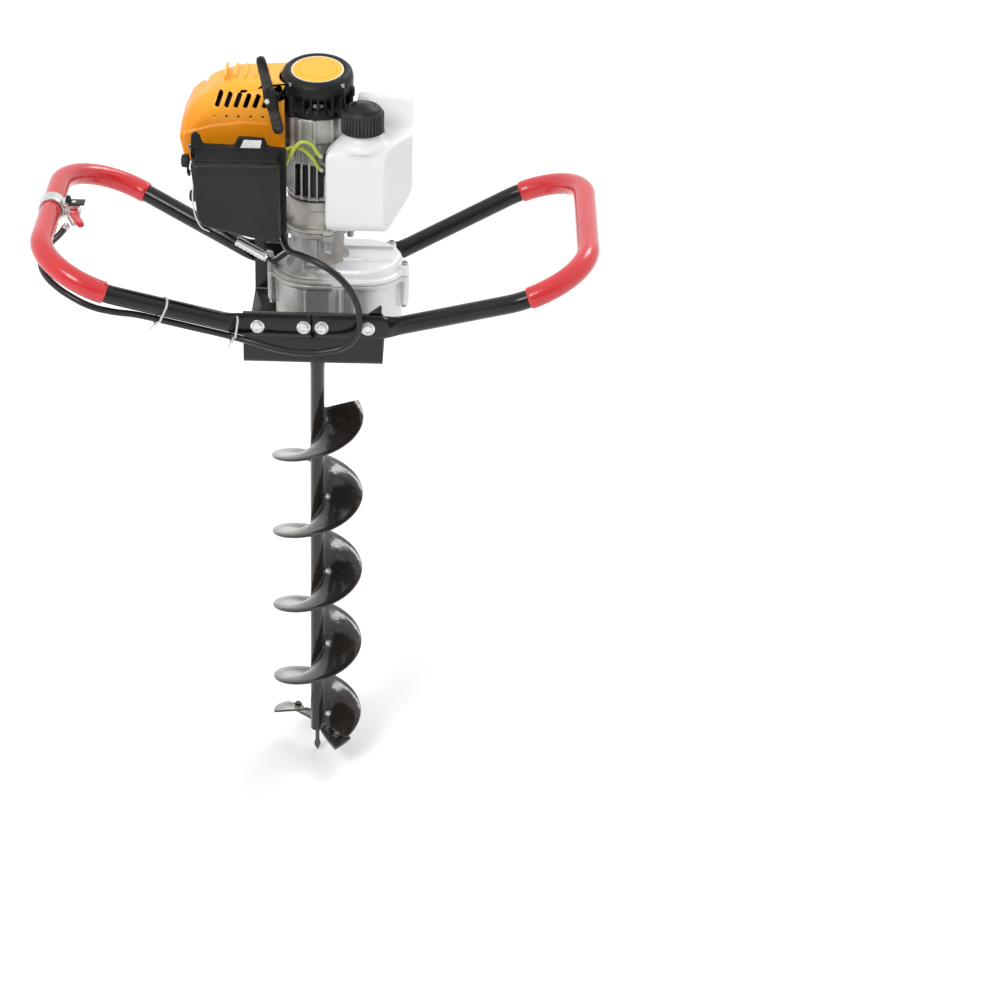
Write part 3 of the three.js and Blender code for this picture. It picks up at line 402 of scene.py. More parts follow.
def block(x, y, z):
    loops = [[at(x[0], y[0], h), at(x[1], y[0], h), at(x[1], y[1], h), at(x[0], y[1], h)] for h in z]
    return rings(loops)


def placed(shape, matrix):
    return [matrix @ v for v in shape[0]], shape[1]


def turned_about(shape, pivot, axis, degrees):
    turn = Matrix.Rotation(math.radians(degrees), 4, axis)
    return placed(shape, Matrix.Translation(pivot) @ turn @ Matrix.Translation(-pivot))


def rounded(outline, radius, steps=6):
    """The outline with each corner turned into an arc; a corner with a third number has its own radius."""
    result = []
    count = len(outline)
    for i, corner in enumerate(outline):
        here = Vector(corner[:2])
        reach = corner[2] if len(corner) > 2 else radius
        before = Vector(outline[i - 1][:2]) - here
        after = Vector(outline[(i + 1) % count][:2]) - here
        half = before.angle(after) / 2
        run = min(reach / math.tan(half), before.length * 0.49, after.length * 0.49)
        size = run * math.tan(half)
        bisector = (before.normalized() + after.normalized()).normalized()
        centre = here + bisector * (size / math.sin(half))
        first = here + before.normalized() * run - centre
        turn = first.angle_signed(here + after.normalized() * run - centre)
        for k in range(steps + 1):
            spoke = first.copy()
            spoke.rotate(Matrix.Rotation(-turn * k / steps, 2))
            result.append(tuple(centre + spoke))
    return result


def inset(outline, amount):
    """The outline moved inwards by amount, or by a function of each corner."""
    area = sum(a[0] * b[1] - b[0] * a[1] for a, b in zip(outline, outline[1:] + outline[:1]))
    sign = 1 if area > 0 else -1
    result = []
    for i, corner in enumerate(outline):
        here = Vector(corner)
        forward = (Vector(outline[(i + 1) % len(outline)]) - Vector(outline[i - 1])).normalized()
        inward = Vector((-forward.y, forward.x)) * sign
        result.append(tuple(here + inward * (amount(here) if callable(amount) else amount)))
    return result


def upright(outline, low, high):
    """A plan outline in X and Y between two heights."""
    return rings([[at(x, y, h) for x, y in outline] for h in (low, high)])


def frontal(outline, layers):
    """A front outline in X and height, through (y, inset) layers from the front to the back."""
    return rings([[at(x, y, h) for x, h in inset(outline, amount)] for y, amount in layers])


def sideways(outline, x0, x1):
    """A side outline in Y and height between two X planes."""
    return rings([[at(x, y, h) for y, h in outline] for x in (x0, x1)])


EDGE_STEPS = 6
BEND_STEP = 5  # degrees


def edge_layers(front, back, front_radius, back_radius):
    """Layers for frontal() that round both edges."""
    arc = [(1 - math.sin(math.pi / 2 * k / EDGE_STEPS), 1 - math.cos(math.pi / 2 * k / EDGE_STEPS))
           for k in range(EDGE_STEPS + 1)]
    layers = [(front + front_radius * depth, front_radius * pull) for depth, pull in reversed(arc)]
    return layers + [(back - back_radius * depth, back_radius * pull) for depth, pull in arc]


def bent_route(corners, radii):
    """Straight runs with a round bend of the given radius at each inner corner."""
    points = [corners[0]]
    for before, corner, after, radius in zip(corners, corners[1:], corners[2:], radii):
        incoming = (corner - before).normalized()
        outgoing = (after - corner).normalized()
        turn = incoming.angle(outgoing)
        inward = (outgoing - incoming).normalized()
        side = (outgoing + incoming).normalized()
        centre = corner + inward * (radius / math.cos(turn / 2))
        count = max(2, math.ceil(math.degrees(turn) / BEND_STEP))
        for i in range(count + 1):
            angle = turn * (i / count - 0.5)
            points.append(centre + (side * math.sin(angle) - inward * math.cos(angle)) * radius)
    return points + [corners[-1]]


def spaced(points, spacing):
    """The same route with more points along its straight runs."""
    result = [points[0]]
    for a, b in zip(points, points[1:]):
        count = max(1, math.ceil((b - a).length / spacing))
        result += [a.lerp(b, (k + 1) / count) for k in range(count)]
    return result


def smooth_route(points, steps=8):
    """A Catmull-Rom curve through the points."""
    padded = [points[0] * 2 - points[1], *points, points[-1] * 2 - points[-2]]
    result = []
    for p0, p1, p2, p3 in zip(padded, padded[1:], padded[2:], padded[3:]):
        for k in range(steps):
            t = k / steps
            result.append(0.5 * (2 * p1 + (p2 - p0) * t + (2 * p0 - 5 * p1 + 4 * p2 - p3) * t * t
                                 + (3 * p1 - p0 - 3 * p2 + p3) * t ** 3))
    return result + [points[-1]]


BORE_DEPTH = 0.012


def swept(points, radius, sides=24, hollow=0.0):
    """A round tube along points. radius may be a function of the distance along it. hollow is the share
    of the radius that is bored out at each end."""
    lengths = [0.0]
    for a, b in zip(points, points[1:]):
        lengths.append(lengths[-1] + (b - a).length)
    size = radius if callable(radius) else (lambda distance: radius)
    tangent = (points[1] - points[0]).normalized()
    normal = tangent.orthogonal().normalized()
    loops = []
    for i, point in enumerate(points):
        ahead = points[min(i + 1, len(points) - 1)] - points[max(i - 1, 0)]
        new_tangent = ahead.normalized()
        normal = (normal - new_tangent * normal.dot(new_tangent)).normalized()
        other = new_tangent.cross(normal)
        tangent = new_tangent
        spokes = [normal * math.cos(a) + other * math.sin(a)
                  for a in (2 * math.pi * k / sides for k in range(sides))]
        loops.append([point + s * size(lengths[i]) for s in spokes])
        if i == 0 and hollow:
            first_tangent = new_tangent.copy()
    if hollow:
        def shrunk(loop, centre, shift):
            return [centre + (Vector(p) - centre) * hollow + shift for p in loop]
        start_cap = [shrunk(loops[0], points[0], first_tangent * BORE_DEPTH),
                     shrunk(loops[0], points[0], Vector())]
        end_cap = [shrunk(loops[-1], points[-1], Vector()),
                   shrunk(loops[-1], points[-1], -tangent * BORE_DEPTH)]
        loops = start_cap + loops + end_cap
    return rings(loops)


# ---- pieces ----
def to_object(name, shape, materials):
    mesh = bpy.data.meshes.new(name)
    mesh.from_pydata([tuple(v) for v in shape[0]], [], shape[1])
    made = bpy.data.objects.new(name, mesh)
    bpy.context.scene.collection.objects.link(made)
    for material in materials if isinstance(materials, (list, tuple)) else [materials]:
        mesh.materials.append(material)
    return made


def outward(obj):
    """Faces point out of the solid."""
    work = bmesh.new()
    work.from_mesh(obj.data)
    bmesh.ops.remove_doubles(work, verts=work.verts, dist=1e-6)
    bmesh.ops.recalc_face_normals(work, faces=work.faces)
    work.to_mesh(obj.data)
    work.free()


def settle(obj):
    """Turns the modifiers into mesh."""
    graph = bpy.context.evaluated_depsgraph_get()
    fresh = bpy.data.meshes.new_from_object(obj.evaluated_get(graph))
    obj.modifiers.clear()
    old = obj.data
    obj.data = fresh
    bpy.data.meshes.remove(old)


def combine(obj, shape, operation):
    tool = to_object("tool", shape, obj.data.materials[0])
    outward(tool)
    modifier = obj.modifiers.new("combine", "BOOLEAN")
    modifier.operation = operation
    modifier.solver = "MANIFOLD"
    modifier.object = tool
    settle(obj)
    bpy.data.objects.remove(tool)


SMOOTH_FACTOR = 0.5
BEVEL_SEGMENTS = 2
BEVEL_ANGLE = math.radians(38)


def soften(obj, voxel, passes):
    """A cast or blown look: one skin of even cells with softened edges."""
    remesh = obj.modifiers.new("skin", "REMESH")
    remesh.mode = "VOXEL"
    remesh.voxel_size = voxel
    ease = obj.modifiers.new("ease", "SMOOTH")
    ease.factor = SMOOTH_FACTOR
    ease.iterations = passes
    settle(obj)


def bevelled(obj, width):
    bevel = obj.modifiers.new("edge", "BEVEL")
    bevel.width = width
    bevel.segments = BEVEL_SEGMENTS
    bevel.limit_method = "ANGLE"
    bevel.angle_limit = BEVEL_ANGLE
    settle(obj)


def shade(obj, angle=42):
    obj.data.polygons.foreach_set("use_smooth", [True] * len(obj.data.polygons))
    obj.data.set_sharp_from_angle(angle=math.radians(angle))


def piece(name, shapes, materials, *, cuts=(), edge=0.0, voxel=0.0, passes=3, body="root", stands_for=(),
          sharp=42):
    """One piece: shapes joined, cuts taken away, edges eased, then put on its body."""
    first, *rest = shapes
    made = to_object(name, first, materials)
    outward(made)
    for shape in rest:
        combine(made, shape, "UNION")
    for shape in cuts:
        combine(made, shape, "DIFFERENCE")
    if voxel:
        soften(made, voxel, passes)
    if edge:
        bevelled(made, edge)
    shade(made, sharp)
    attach(made, body)
    if stands_for:
        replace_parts(made, *stands_for)
    return made


# ---- throttle cable ----
CABLE_RADIUS = 0.0045
CABLE_ROUTE = [
    (-0.053, -0.058, 0.25), (-0.0485, -0.058, 0.2475), (-0.0445, -0.059, 0.234), (-0.043, -0.061, 0.206),
    (-0.043, -0.063, 0.182), (-0.041, -0.075, 0.163), (-0.033, -0.094, 0.158), (-0.014, -0.117, 0.161),
    (0.012, -0.134, 0.157), (0.038, -0.141, 0.14), (0.056, -0.143, 0.115), (0.063, -0.143, 0.087),
    (0.061, -0.1435, 0.062), (0.047, -0.143, 0.044), (0.022, -0.143, 0.034), (-0.01, -0.143, 0.031),
    (-0.044, -0.142, 0.035), (-0.08, -0.136, 0.042), (-0.118, -0.126, 0.047), (-0.156, -0.139, 0.0625),
    (-0.196, -0.153, 0.079), (-0.232, -0.166, 0.0935), (-0.264, -0.1775, 0.103), (-0.29, -0.182, 0.112),
    (-0.316, -0.175, 0.122), (-0.338, -0.16, 0.13), (-0.354, -0.14, 0.136), (-0.363, -0.116, 0.141),
    (-0.364, -0.09, 0.144), (-0.358, -0.062, 0.146), (-0.349, -0.038, 0.148), (-0.341, -0.014, 0.151),
]


def make_cable():
    curve = bpy.data.curves.new("throttle_cable_sleeve", "CURVE")
    curve.dimensions = "3D"
    curve.bevel_depth = CABLE_RADIUS
    curve.bevel_resolution = 5
    curve.resolution_u = 10
    curve.use_fill_caps = True
    spline = curve.splines.new("BEZIER")
    spline.bezier_points.add(len(CABLE_ROUTE) - 1)
    for knot, place in zip(spline.bezier_points, CABLE_ROUTE):
        knot.co = at(*place)
        knot.handle_left_type = "AUTO"
        knot.handle_right_type = "AUTO"
    curve.materials.append(rubber)
    cable = bpy.data.objects.new("throttle_cable_sleeve", curve)
    bpy.context.scene.collection.objects.link(cable)
    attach(cable, "root")
    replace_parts(cable, "throttle_cable")
    for name, k, step in (("cable_ferrule_engine", 0, 1), ("cable_ferrule_trigger", -1, -1)):
        tip = at(*CABLE_ROUTE[k])
        inward = (at(*CABLE_ROUTE[k + step]) - tip).normalized()
        profile = [(0.0022, -0.002), (0.0052, 0), (0.0054, 0.004), (0.0050, 0.005), (0.0054, 0.006),
                   (0.0054, 0.011), (0.0047, 0.013)]
        piece(name, [turned(profile, tip, inward, 28)], zinc)


# ---- handles ----
TUBE_RADIUS = 0.0125
GRIP_RADIUS = 0.015
SLEEVE_STARTS = {"left": (0.268, 0.248), "right": (0.282, 0.276)}  # front and back ends of each sleeve
TUBE_Y = 0.1195
TUBE_Z = 0.060
BEND_X = 0.102
LOOP_X = 0.364
LOOP_RISE = 0.41
LOOP_SPLAY = 0.35
LOOP_RADIUS = 0.088
LOOP_Y = TUBE_Y + LOOP_SPLAY * (LOOP_X - BEND_X)
LOOP_Z = TUBE_Z + LOOP_RISE * (LOOP_X - BEND_X)
FLAT_UNTIL_X = 0.090
ROUND_FROM_X = 0.118


def loop_route(side):
    corners = [at(side * x, y, h) for x, y, h in (
        (0.003, -TUBE_Y, TUBE_Z), (BEND_X, -TUBE_Y, TUBE_Z), (LOOP_X, -LOOP_Y, LOOP_Z),
        (LOOP_X, LOOP_Y, LOOP_Z), (BEND_X, TUBE_Y, TUBE_Z), (0.003, TUBE_Y, TUBE_Z))]
    return spaced(bent_route(corners, [0.04, LOOP_RADIUS, LOOP_RADIUS, 0.04]), 0.007)


def pressed_flat(shape):
    """The tube ends are pressed flat where they bolt to the bracket."""
    verts = []
    for v in shape[0]:
        x = abs(v.x)
        t = min(1, max(0, (x - FLAT_UNTIL_X) / (ROUND_FROM_X - FLAT_UNTIL_X)))
        pressed = 1 - t * t * (3 - 2 * t)
        away = max(0, x - BEND_X)
        axis_y = math.copysign(TUBE_Y + LOOP_SPLAY * away, v.y)
        axis_z = BASE + TUBE_Z + LOOP_RISE * away
        thin = 1 - 0.68 * pressed
        tall = 1 + 0.38 * pressed
        verts.append(Vector((v.x, axis_y + (v.y - axis_y) * thin, axis_z + (v.z - axis_z) * tall)))
    return verts, shape[1]


def make_handles():
    for name, side in (("left", -1), ("right", 1)):
        route = loop_route(side)
        tube = pressed_flat(swept(route, TUBE_RADIUS, 32, hollow=0.82))
        piece(f"handle_tube_{name}", [tube], black_paint, stands_for=[f"handle_{name}"])
        front_start, back_start = SLEEVE_STARTS[name]
        sleeve = [p for p in route if abs(p.x) > (front_start if p.y < 0 else back_start)]
        total = sum((b - a).length for a, b in zip(sleeve, sleeve[1:]))

        def radius(distance):
            end = min(distance, total - distance)
            return GRIP_RADIUS - 0.0016 * max(0, 1 - end / 0.004) ** 2
        piece(f"grip_sleeve_{name}", [swept(spaced(sleeve, 0.0025), radius, 36)], red_vinyl,
              stands_for=[f"grip_{name}"], sharp=60)


BOLT_X = [-0.074, -0.012, 0.012, 0.074]


def make_bolts():
    """Flanged hexagon bolts with a dished head."""
    for side_name, side in (("front", -1), ("back", 1)):
        for i, x in enumerate(BOLT_X):
            face = at(x, side * (TUBE_Y + 0.0044), TUBE_Z)
            out = Vector((0, side, 0))
            flange = turned([(0.0030, 0), (0.0096, 0), (0.0098, 0.0008), (0.0094, 0.0018), (0.0074, 0.0026),
                             (0.0030, 0.0026)],
                            face, out, 40)
            head = turned([(0.003, 0.001), (0.0072, 0.001), (0.0072, 0.0062), (0.0064, 0.0070),
                           (0.003, 0.0070)], face, out, 6)
            dish = turned([(0.0001, 0.0058), (0.0042, 0.0064), (0.0047, 0.0080), (0.0001, 0.0080)], face,
                          out, 32)
            turned_head = turned_about(head, face, Vector((0, 1, 0)), 17 * (i + 1))
            piece(f"flange_bolt_{side_name}_{i + 1}", [flange, turned_head], zinc, cuts=[dish],
                  edge=0.00025,
                  stands_for=[f"handle_bolt_{side_name}_{i + 1}"])


def make_ties():
    """Nylon ties that hold the cable to the left rail."""
    cable_points = smooth_route([Vector(p) for p in CABLE_ROUTE], 12)
    for i, x in enumerate((0.106, 0.198)):
        away = x - BEND_X
        rail = at(-x, -(TUBE_Y + LOOP_SPLAY * away), TUBE_Z + LOOP_RISE * away)
        along = Vector((-1, -LOOP_SPLAY, LOOP_RISE)).normalized()
        cable = min((at(*p) for p in cable_points), key=lambda p: (p - rail).length)
        across = (rail - cable).normalized()
        around = along.cross(across)
        middle = (rail + cable) / 2
        reach = (rail - cable).length / 2
        loop = []
        for k in range(48):
            angle = 2 * math.pi * k / 48
            wide = TUBE_RADIUS + 0.0007 if math.cos(angle) > 0 else CABLE_RADIUS + 0.001
            loop.append(middle + across * (math.copysign(reach, math.cos(angle)) + math.cos(angle) * wide)
                        + around * math.sin(angle) * (wide if abs(math.cos(angle)) > 0.02 else TUBE_RADIUS))
        band = [[p + along * s + (p - middle).normalized() * o
                 for s, o in ((-0.0014, 0), (0.0014, 0), (0.0014, 0.0009), (-0.0014, 0.0009))]
                for p in loop]
        lock_at = cable - across * (CABLE_RADIUS + 0.002)
        lock = rod(lock_at - around * 0.004, lock_at + around * 0.004, 0.0026, 0.0006, 4)
        tail = rod(lock_at, lock_at - across * 0.010 + along * 0.003, 0.0012, 0.0003, 4)
        piece(f"cable_tie_{i + 1}", [joined(rings(band, looped=True), lock, tail)], nylon)


# ---- bracket ----
def make_bracket():
    steel = 0.005
    half_y, top = 0.115, 0.076
    outline = rounded([(-half_y, top, 0.001), (-half_y, 0, 0.008), (half_y, 0, 0.008), (half_y, top, 0.001),
                       (half_y - steel, top, 0.001), (half_y - steel, steel, 0.003),
                       (-half_y + steel, steel, 0.003),
                       (-half_y + steel, top, 0.001)], 0.003, 8)
    channel = sideways(outline, -0.094, 0.094)
    ear = frontal(rounded([(0.062, 0.066), (0.092, 0.066), (0.092, 0.088, 0.001), (0.089, 0.088, 0.001)],
                          0.0008, 3),
                  [(-half_y, 0), (-half_y + steel, 0)])
    strap = frontal(rounded([(-0.094, 0.070), (-0.078, 0.070), (-0.082, 0.100, 0.003),
                             (-0.094, 0.100, 0.003)], 0.001, 4),
                    [(half_y - steel, 0), (half_y, 0)])
    hole = rod(at(0, 0, -0.01), at(0, 0, 0.02), 0.022, 0, 48)
    piece("bracket_channel", [channel, ear, strap], black_paint, cuts=[hole], edge=0.0007,
          stands_for=["frame_bracket"])
    nuts = [hexagon(at(x, side * 0.111, TUBE_Z), at(x, side * 0.103, TUBE_Z), 0.0082) for x in BOLT_X
            for side in (-1, 1)]
    piece("bracket_weld_nuts", [joined(*nuts)], zinc)


# ---- gearbox ----
SHAFT_GAP = 0.060
SCREWS = [(-0.061, -0.014), (-0.040, 0.048), (0.100, 0.048), (0.120, -0.020), (0.030, -0.061),
          (0.030, 0.061)]
SPLIT = 0.092


STADIUM_STEPS = 28


def stadium(radius, start=0.0):
    right = [(SHAFT_GAP + radius * math.cos(a), radius * math.sin(a)) for a in
             (math.pi * (k / STADIUM_STEPS - 0.5) for k in range(STADIUM_STEPS + 1))]
    left = [(start + radius * math.cos(a), radius * math.sin(a)) for a in
            (math.pi * (k / STADIUM_STEPS + 0.5) for k in range(STADIUM_STEPS + 1))]
    return right + left


def tapered(stations, start=0.0):
    """Stadium outlines of (radius, height), skinned."""
    return rings([[at(x, y, h) for x, y in stadium(r, start)] for r, h in stations])


def make_gearbox():
    ribs = [block((x - 0.0015, x + 0.0015), (-0.0605, -0.05), (0.03, SPLIT - 0.004))
            for x in (-0.012, 0.022, 0.052)]
    ribs += [block((x - 0.0015, x + 0.0015), (0.05, 0.0605), (0.03, SPLIT - 0.004))
             for x in (-0.012, 0.022, 0.052)]
    body = tapered([(0.055, 0.0055), (0.0565, 0.012), (0.0585, SPLIT - 0.0055)])
    rim = tapered([(0.061, SPLIT - 0.007), (0.062, SPLIT - 0.006), (0.062, SPLIT)])
    bosses = [turned([(0.0045, 0), (0.0062, 0.004), (0.0068, 0.044)], at(x, y, SPLIT - 0.044), UP, 24)
              for x, y in SCREWS]
    inside = tapered([(0.0525, 0.0105), (0.0545, SPLIT + 0.002)])
    shaft_hole = rod(at(0, 0, 0), at(0, 0, 0.02), 0.013, 0, 40)
    piece("gearbox_lower_casting", [body, rim, *bosses, *ribs], case_alloy_painted_light, cuts=[inside, shaft_hole],
          voxel=0.0015, passes=3,
          stands_for=["gearbox_lower_case"])
    low = SPLIT + 0.0004
    lid_rim = tapered([(0.062, low), (0.062, low + 0.005), (0.0605, low + 0.0065)])
    plateau = tapered([(0.0575, low + 0.002), (0.056, 0.108), (0.0525, 0.1125)], 0.018)
    foot = turned([(0.0575, low + 0.002), (0.0570, 0.1005), (0.0450, 0.1110), (0.0385, 0.118),
                   (0.0364, 0.128), (0.0362, 0.1495),
                   (0.0440, 0.1515), (0.0448, 0.1530), (0.0448, 0.1600)], at(0, 0, 0), UP, 64)
    lugs = []
    for k in range(4):
        centre = polar(0.047, 20 + 90 * k, 0)
        lugs.append(rod(centre + UP * 0.1505, centre + UP * 0.1600, 0.0082, 0.0004, 28))
        lugs.append(rod(centre + UP * 0.137, centre + UP * 0.152, 0.0056, 0.0004, 24))
    lid_bosses = [turned([(0.0070, 0), (0.0064, 0.0145), (0.0058, 0.0155)], at(x, y, low), UP, 24)
                  for x, y in SCREWS]
    lid_webs = [block((0.034, 0.104), (y - 0.0018, y + 0.0018), (0.110, 0.1165)) for y in (-0.02, 0.02)]
    webs = [block((-0.0016, 0.0016), (-0.0392, -0.03), (0.106, 0.150))]
    webs += [turned_about(block((0.030, 0.0505), (-0.0017, 0.0017), (0.098, 0.118)), at(0, 0, 0), UP, a)
             for a in (150, 215, 250)]
    bore = rod(at(0, 0, 0.118), at(0, 0, 0.17), 0.031, 0, 48)
    hollow = tapered([(0.054, low - 0.001), (0.0525, 0.101)], 0.02)
    neck_seat = rod(at(0, 0, 0.105), at(0, 0, 0.17), 0.034, 0, 48)
    piece("gearbox_upper_casting", [lid_rim, plateau, *lid_bosses, *lid_webs], lid_alloy_painted_light,
          cuts=[hollow, neck_seat],
          voxel=0.0013, passes=2, stands_for=["gearbox_upper_case"])
    piece("gearbox_neck_casting", [foot, *lugs, *webs], cast_alloy, cuts=[hollow, bore], voxel=0.0011,
          passes=1)
    screws = [cap_screw(at(x, y, low + 0.0145), UP, 0.0046) for x, y in SCREWS]
    screws += [cap_screw(at(x, y, SPLIT - 0.0435), -UP, 0.0040) for x, y in SCREWS]
    piece("gearbox_screws", [joined(*screws)], machined)


def cap_screw(place, out, radius):
    """A socket head screw with its socket."""
    profile = [(0.0002, -0.002), (radius, -0.002), (radius, radius * 0.85), (radius * 0.85, radius),
               (radius * 0.55, radius),
               (radius * 0.5, radius * 0.35), (0.0002, radius * 0.3)]
    return turned(profile, place, out, 24)


# ---- engine ----
def make_clutch_housing():
    shell = turned([(0.0455, 0.1603), (0.0458, 0.1606), (0.0458, 0.1640), (0.0446, 0.1655),
                    (0.0405, 0.1670), (0.0390, 0.1700),
                    (0.0384, 0.1900), (0.0398, 0.1915), (0.0402, 0.1925), (0.0402, 0.2030),
                    (0.0395, 0.2040)], at(0, 0, 0), UP, 72)
    lugs = [rod(polar(0.047, 20 + 90 * k, 0.1603), polar(0.047, 20 + 90 * k, 0.1680), 0.0080, 0.0006, 28)
            for k in range(4)]
    webs = [turned_about(block((0.036, 0.0425), (-0.0015, 0.0015), (0.164, 0.198)), at(0, 0, 0), UP, a)
            for a in (10, 55, 100, 145, 190)]
    inside = turned([(0.037, 0.150), (0.037, 0.198)], at(0, 0, 0), UP, 64)
    shaft_hole = rod(at(0, 0, 0.19), at(0, 0, 0.21), 0.009, 0, 32)
    piece("clutch_housing_casting", [shell, *lugs, *webs], warm_alloy, cuts=[inside, shaft_hole],
          voxel=0.0012, passes=3,
          stands_for=["clutch_housing"])
    screws = [cap_screw(polar(0.047, 20 + 90 * k, 0.1680), UP, 0.0042) for k in range(4)]
    screws += [hexagon(polar(0.047, 20 + 90 * k, 0.1370), polar(0.047, 20 + 90 * k, 0.1320), 0.0052)
               for k in range(4)]
    piece("flange_screws", [joined(*screws)], machined)


def make_crankcase():
    shell = turned([(0.0400, 0.2043), (0.0404, 0.2050), (0.0404, 0.2120), (0.0380, 0.2135),
                    (0.0372, 0.2560), (0.0400, 0.2580),
                    (0.0404, 0.2680), (0.0395, 0.2760), (0.0420, 0.2880), (0.0446, 0.2910),
                    (0.0446, 0.3220), (0.0438, 0.3237)],
                   at(0, 0, 0), UP, 72)
    face = block((-0.047, -0.020), (-0.031, 0.031), (0.222, 0.278))
    fins = []
    for k in range(6):
        x = -0.030 + 0.0105 * k
        reach = math.sqrt(0.0405 ** 2 - min(0.036, abs(x)) ** 2)
        fins.append(block((x - 0.0014, x + 0.0014), (-reach - 0.0025, -reach + 0.012), (0.2075, 0.2605)))
    ribs = [turned_about(block((0.036, 0.0466), (-0.0017, 0.0017), (0.262, 0.3225)), at(0, 0, 0), UP, a)
            for a in (205, 240, 268, 300, 335, 20, 60, 100, 140)]
    mounts = [rod(polar(0.043, a, 0.262), polar(0.043, a, 0.3235), 0.0052, 0.0005, 20)
              for a in (222, 318, 42, 138)]
    chamber = turned([(0.033, 0.224), (0.033, 0.276)], at(0, 0, 0), UP, 48)
    fan_space = turned([(0.0401, 0.288), (0.0407, 0.33)], at(0, 0, 0), UP, 48)
    bore = rod(at(-0.06, 0, 0.25), at(-0.015, 0, 0.25), 0.0203, 0, 48)
    shaft = rod(at(0, 0, 0.19), at(0, 0, 0.30), 0.0083, 0, 32)
    slots = []
    for k in range(5):
        x = -0.0247 + 0.0105 * k
        slots.append(block((x - 0.0037, x + 0.0037), (-0.060, -0.020), (0.211, 0.2555)))
    piece("crankcase_casting", [shell, face, *fins, *ribs, *mounts], cast_alloy,
          cuts=[chamber, fan_space, bore, shaft, *slots],
          voxel=0.0011, passes=1, stands_for=["crankcase"])
    # Painted shade: a black sleeve behind the fins, so that the slots between them read dark.
    painted_shade_liner = turned([(0.0312, 0.2055), (0.0342, 0.2055), (0.0342, 0.2590), (0.0312, 0.2590),
                    (0.0312, 0.2055)], at(0, 0, 0), UP, 64)
    piece("crankcase_painted_shade_liner", [painted_shade_liner], black_plastic)
    band = turned([(0.0385, 0.2040), (0.0409, 0.2044), (0.0409, 0.2072), (0.0385, 0.2076),
                   (0.0385, 0.2040)], at(0, 0, 0), UP, 64)
    piece("crankcase_gasket", [band], black_plastic)


STARTER_LUGS = (38, 142, 222, 318)
TOP_LEAN = 0.145


def leaned(shape):
    """The case's flat top slopes down towards the front."""
    start, full = at(0, 0, 0.360).z, at(0, 0, 0.376).z
    verts = []
    for v in shape[0]:
        share = min(1, max(0, (v.z - start) / (full - start)))
        verts.append(Vector((v.x, v.y, v.z + TOP_LEAN * share * v.y)))
    return verts, shape[1]


def make_starter():
    shell = turned([(0.0440, 0.3243), (0.0462, 0.3255), (0.0462, 0.3330), (0.0425, 0.3370),
                    (0.0418, 0.3480), (0.0455, 0.3520),
                    (0.0478, 0.3560), (0.0480, 0.3700), (0.0462, 0.3760), (0.0425, 0.3792),
                    (0.0395, 0.3800)], at(0, 0, 0), UP, 80)
    lugs = []
    for angle in STARTER_LUGS:
        lugs.append(turned([(0.0070, 0), (0.0070, 0.010), (0.0052, 0.018), (0.0048, 0.040),
                            (0.0030, 0.044)],
                           polar(0.0445, angle, 0.3243), UP, 28))
    webs = [turned_about(block((0.038, 0.0478), (-0.0013, 0.0013), (0.330, 0.362)), at(0, 0, 0), UP, a)
            for a in (250, 262, 274, 286, 298, 340, 352, 4, 16, 60, 75, 90, 105, 120, 165, 180, 195)]
    snout = turned([(0.0095, 0), (0.0088, 0.006), (0.0070, 0.012), (0.0062, 0.0135)], rope_point(0.034),
                   PULL, 32)
    inside = turned([(0.0405, 0.320), (0.0405, 0.346), (0.0435, 0.354), (0.0435, 0.366), (0.038, 0.372)],
                    at(0, 0, 0), UP, 64)
    seat = turned([(0.0360, 0.3775), (0.0366, 0.383)], at(0, 0, 0), UP, 80)
    rope_hole = rod(rope_point(0.02), rope_point(0.06), 0.0034, 0, 24)
    vents = [turned_about(block((0.030, 0.052), (-0.0022, 0.0022), (0.3375, 0.3475)), at(0, 0, 0), UP, a)
             for a in (256, 268, 280, 292, 346, 358, 10, 67, 82, 97, 112, 172, 187)]
    lugs += [turned([(0.0052, 0), (0.0052, 0.012), (0.0040, 0.014)], polar(0.0470, a, 0.3470), UP, 24)
             for a in (196, 344)]
    piece("starter_case_moulding", [leaned(shell), *lugs, *webs, snout], black_plastic,
          cuts=[leaned(inside), leaned(seat), rope_hole, *vents],
          voxel=0.0011, passes=2, stands_for=["starter_case"])
    piece("starter_case_screws", [joined(*[cap_screw(polar(0.0458, a, 0.3680), UP, 0.0030)
                                           for a in STARTER_LUGS])], machined)
    rim = turned([(0.0350, 0.3776), (0.0350, 0.3788), (0.0342, 0.3792), (0.0332, 0.3788), (0.0332, 0.3776),
                  (0.0350, 0.3776)],
                 at(0, 0, 0), UP, 96)
    piece("starter_badge_rim", [leaned(rim)], pale_rim)
    badge = turned([(0.0331, 0.3776), (0.0331, 0.3786), (0.030, 0.3792), (0.0265, 0.3795), (0.0262, 0.3790),
                    (0.0250, 0.3790),
                    (0.0247, 0.3796), (0.012, 0.3799), (0.0001, 0.3800)], at(0, 0, 0), UP, 96)
    piece("starter_badge", [leaned(badge)], orange_plastic)
    piece("reel_post", [turned([(0.0001, 0.342), (0.006, 0.342), (0.006, 0.372), (0.0001, 0.373)],
                               at(0, 0, 0), UP, 32)], black_plastic)


PULL = Vector((-0.45, -0.893, 0)).normalized()
REEL_GROOVE = 0.026
ROPE_HEIGHT = 0.358
HANDLE_AT = 0.078
GRIP_RISE = 0.006  # the rope enters the grip below its middle


def rope_point(distance):
    side = Vector((PULL.y, -PULL.x, 0)) * REEL_GROOVE
    return at(0, 0, ROPE_HEIGHT) + side + PULL * distance


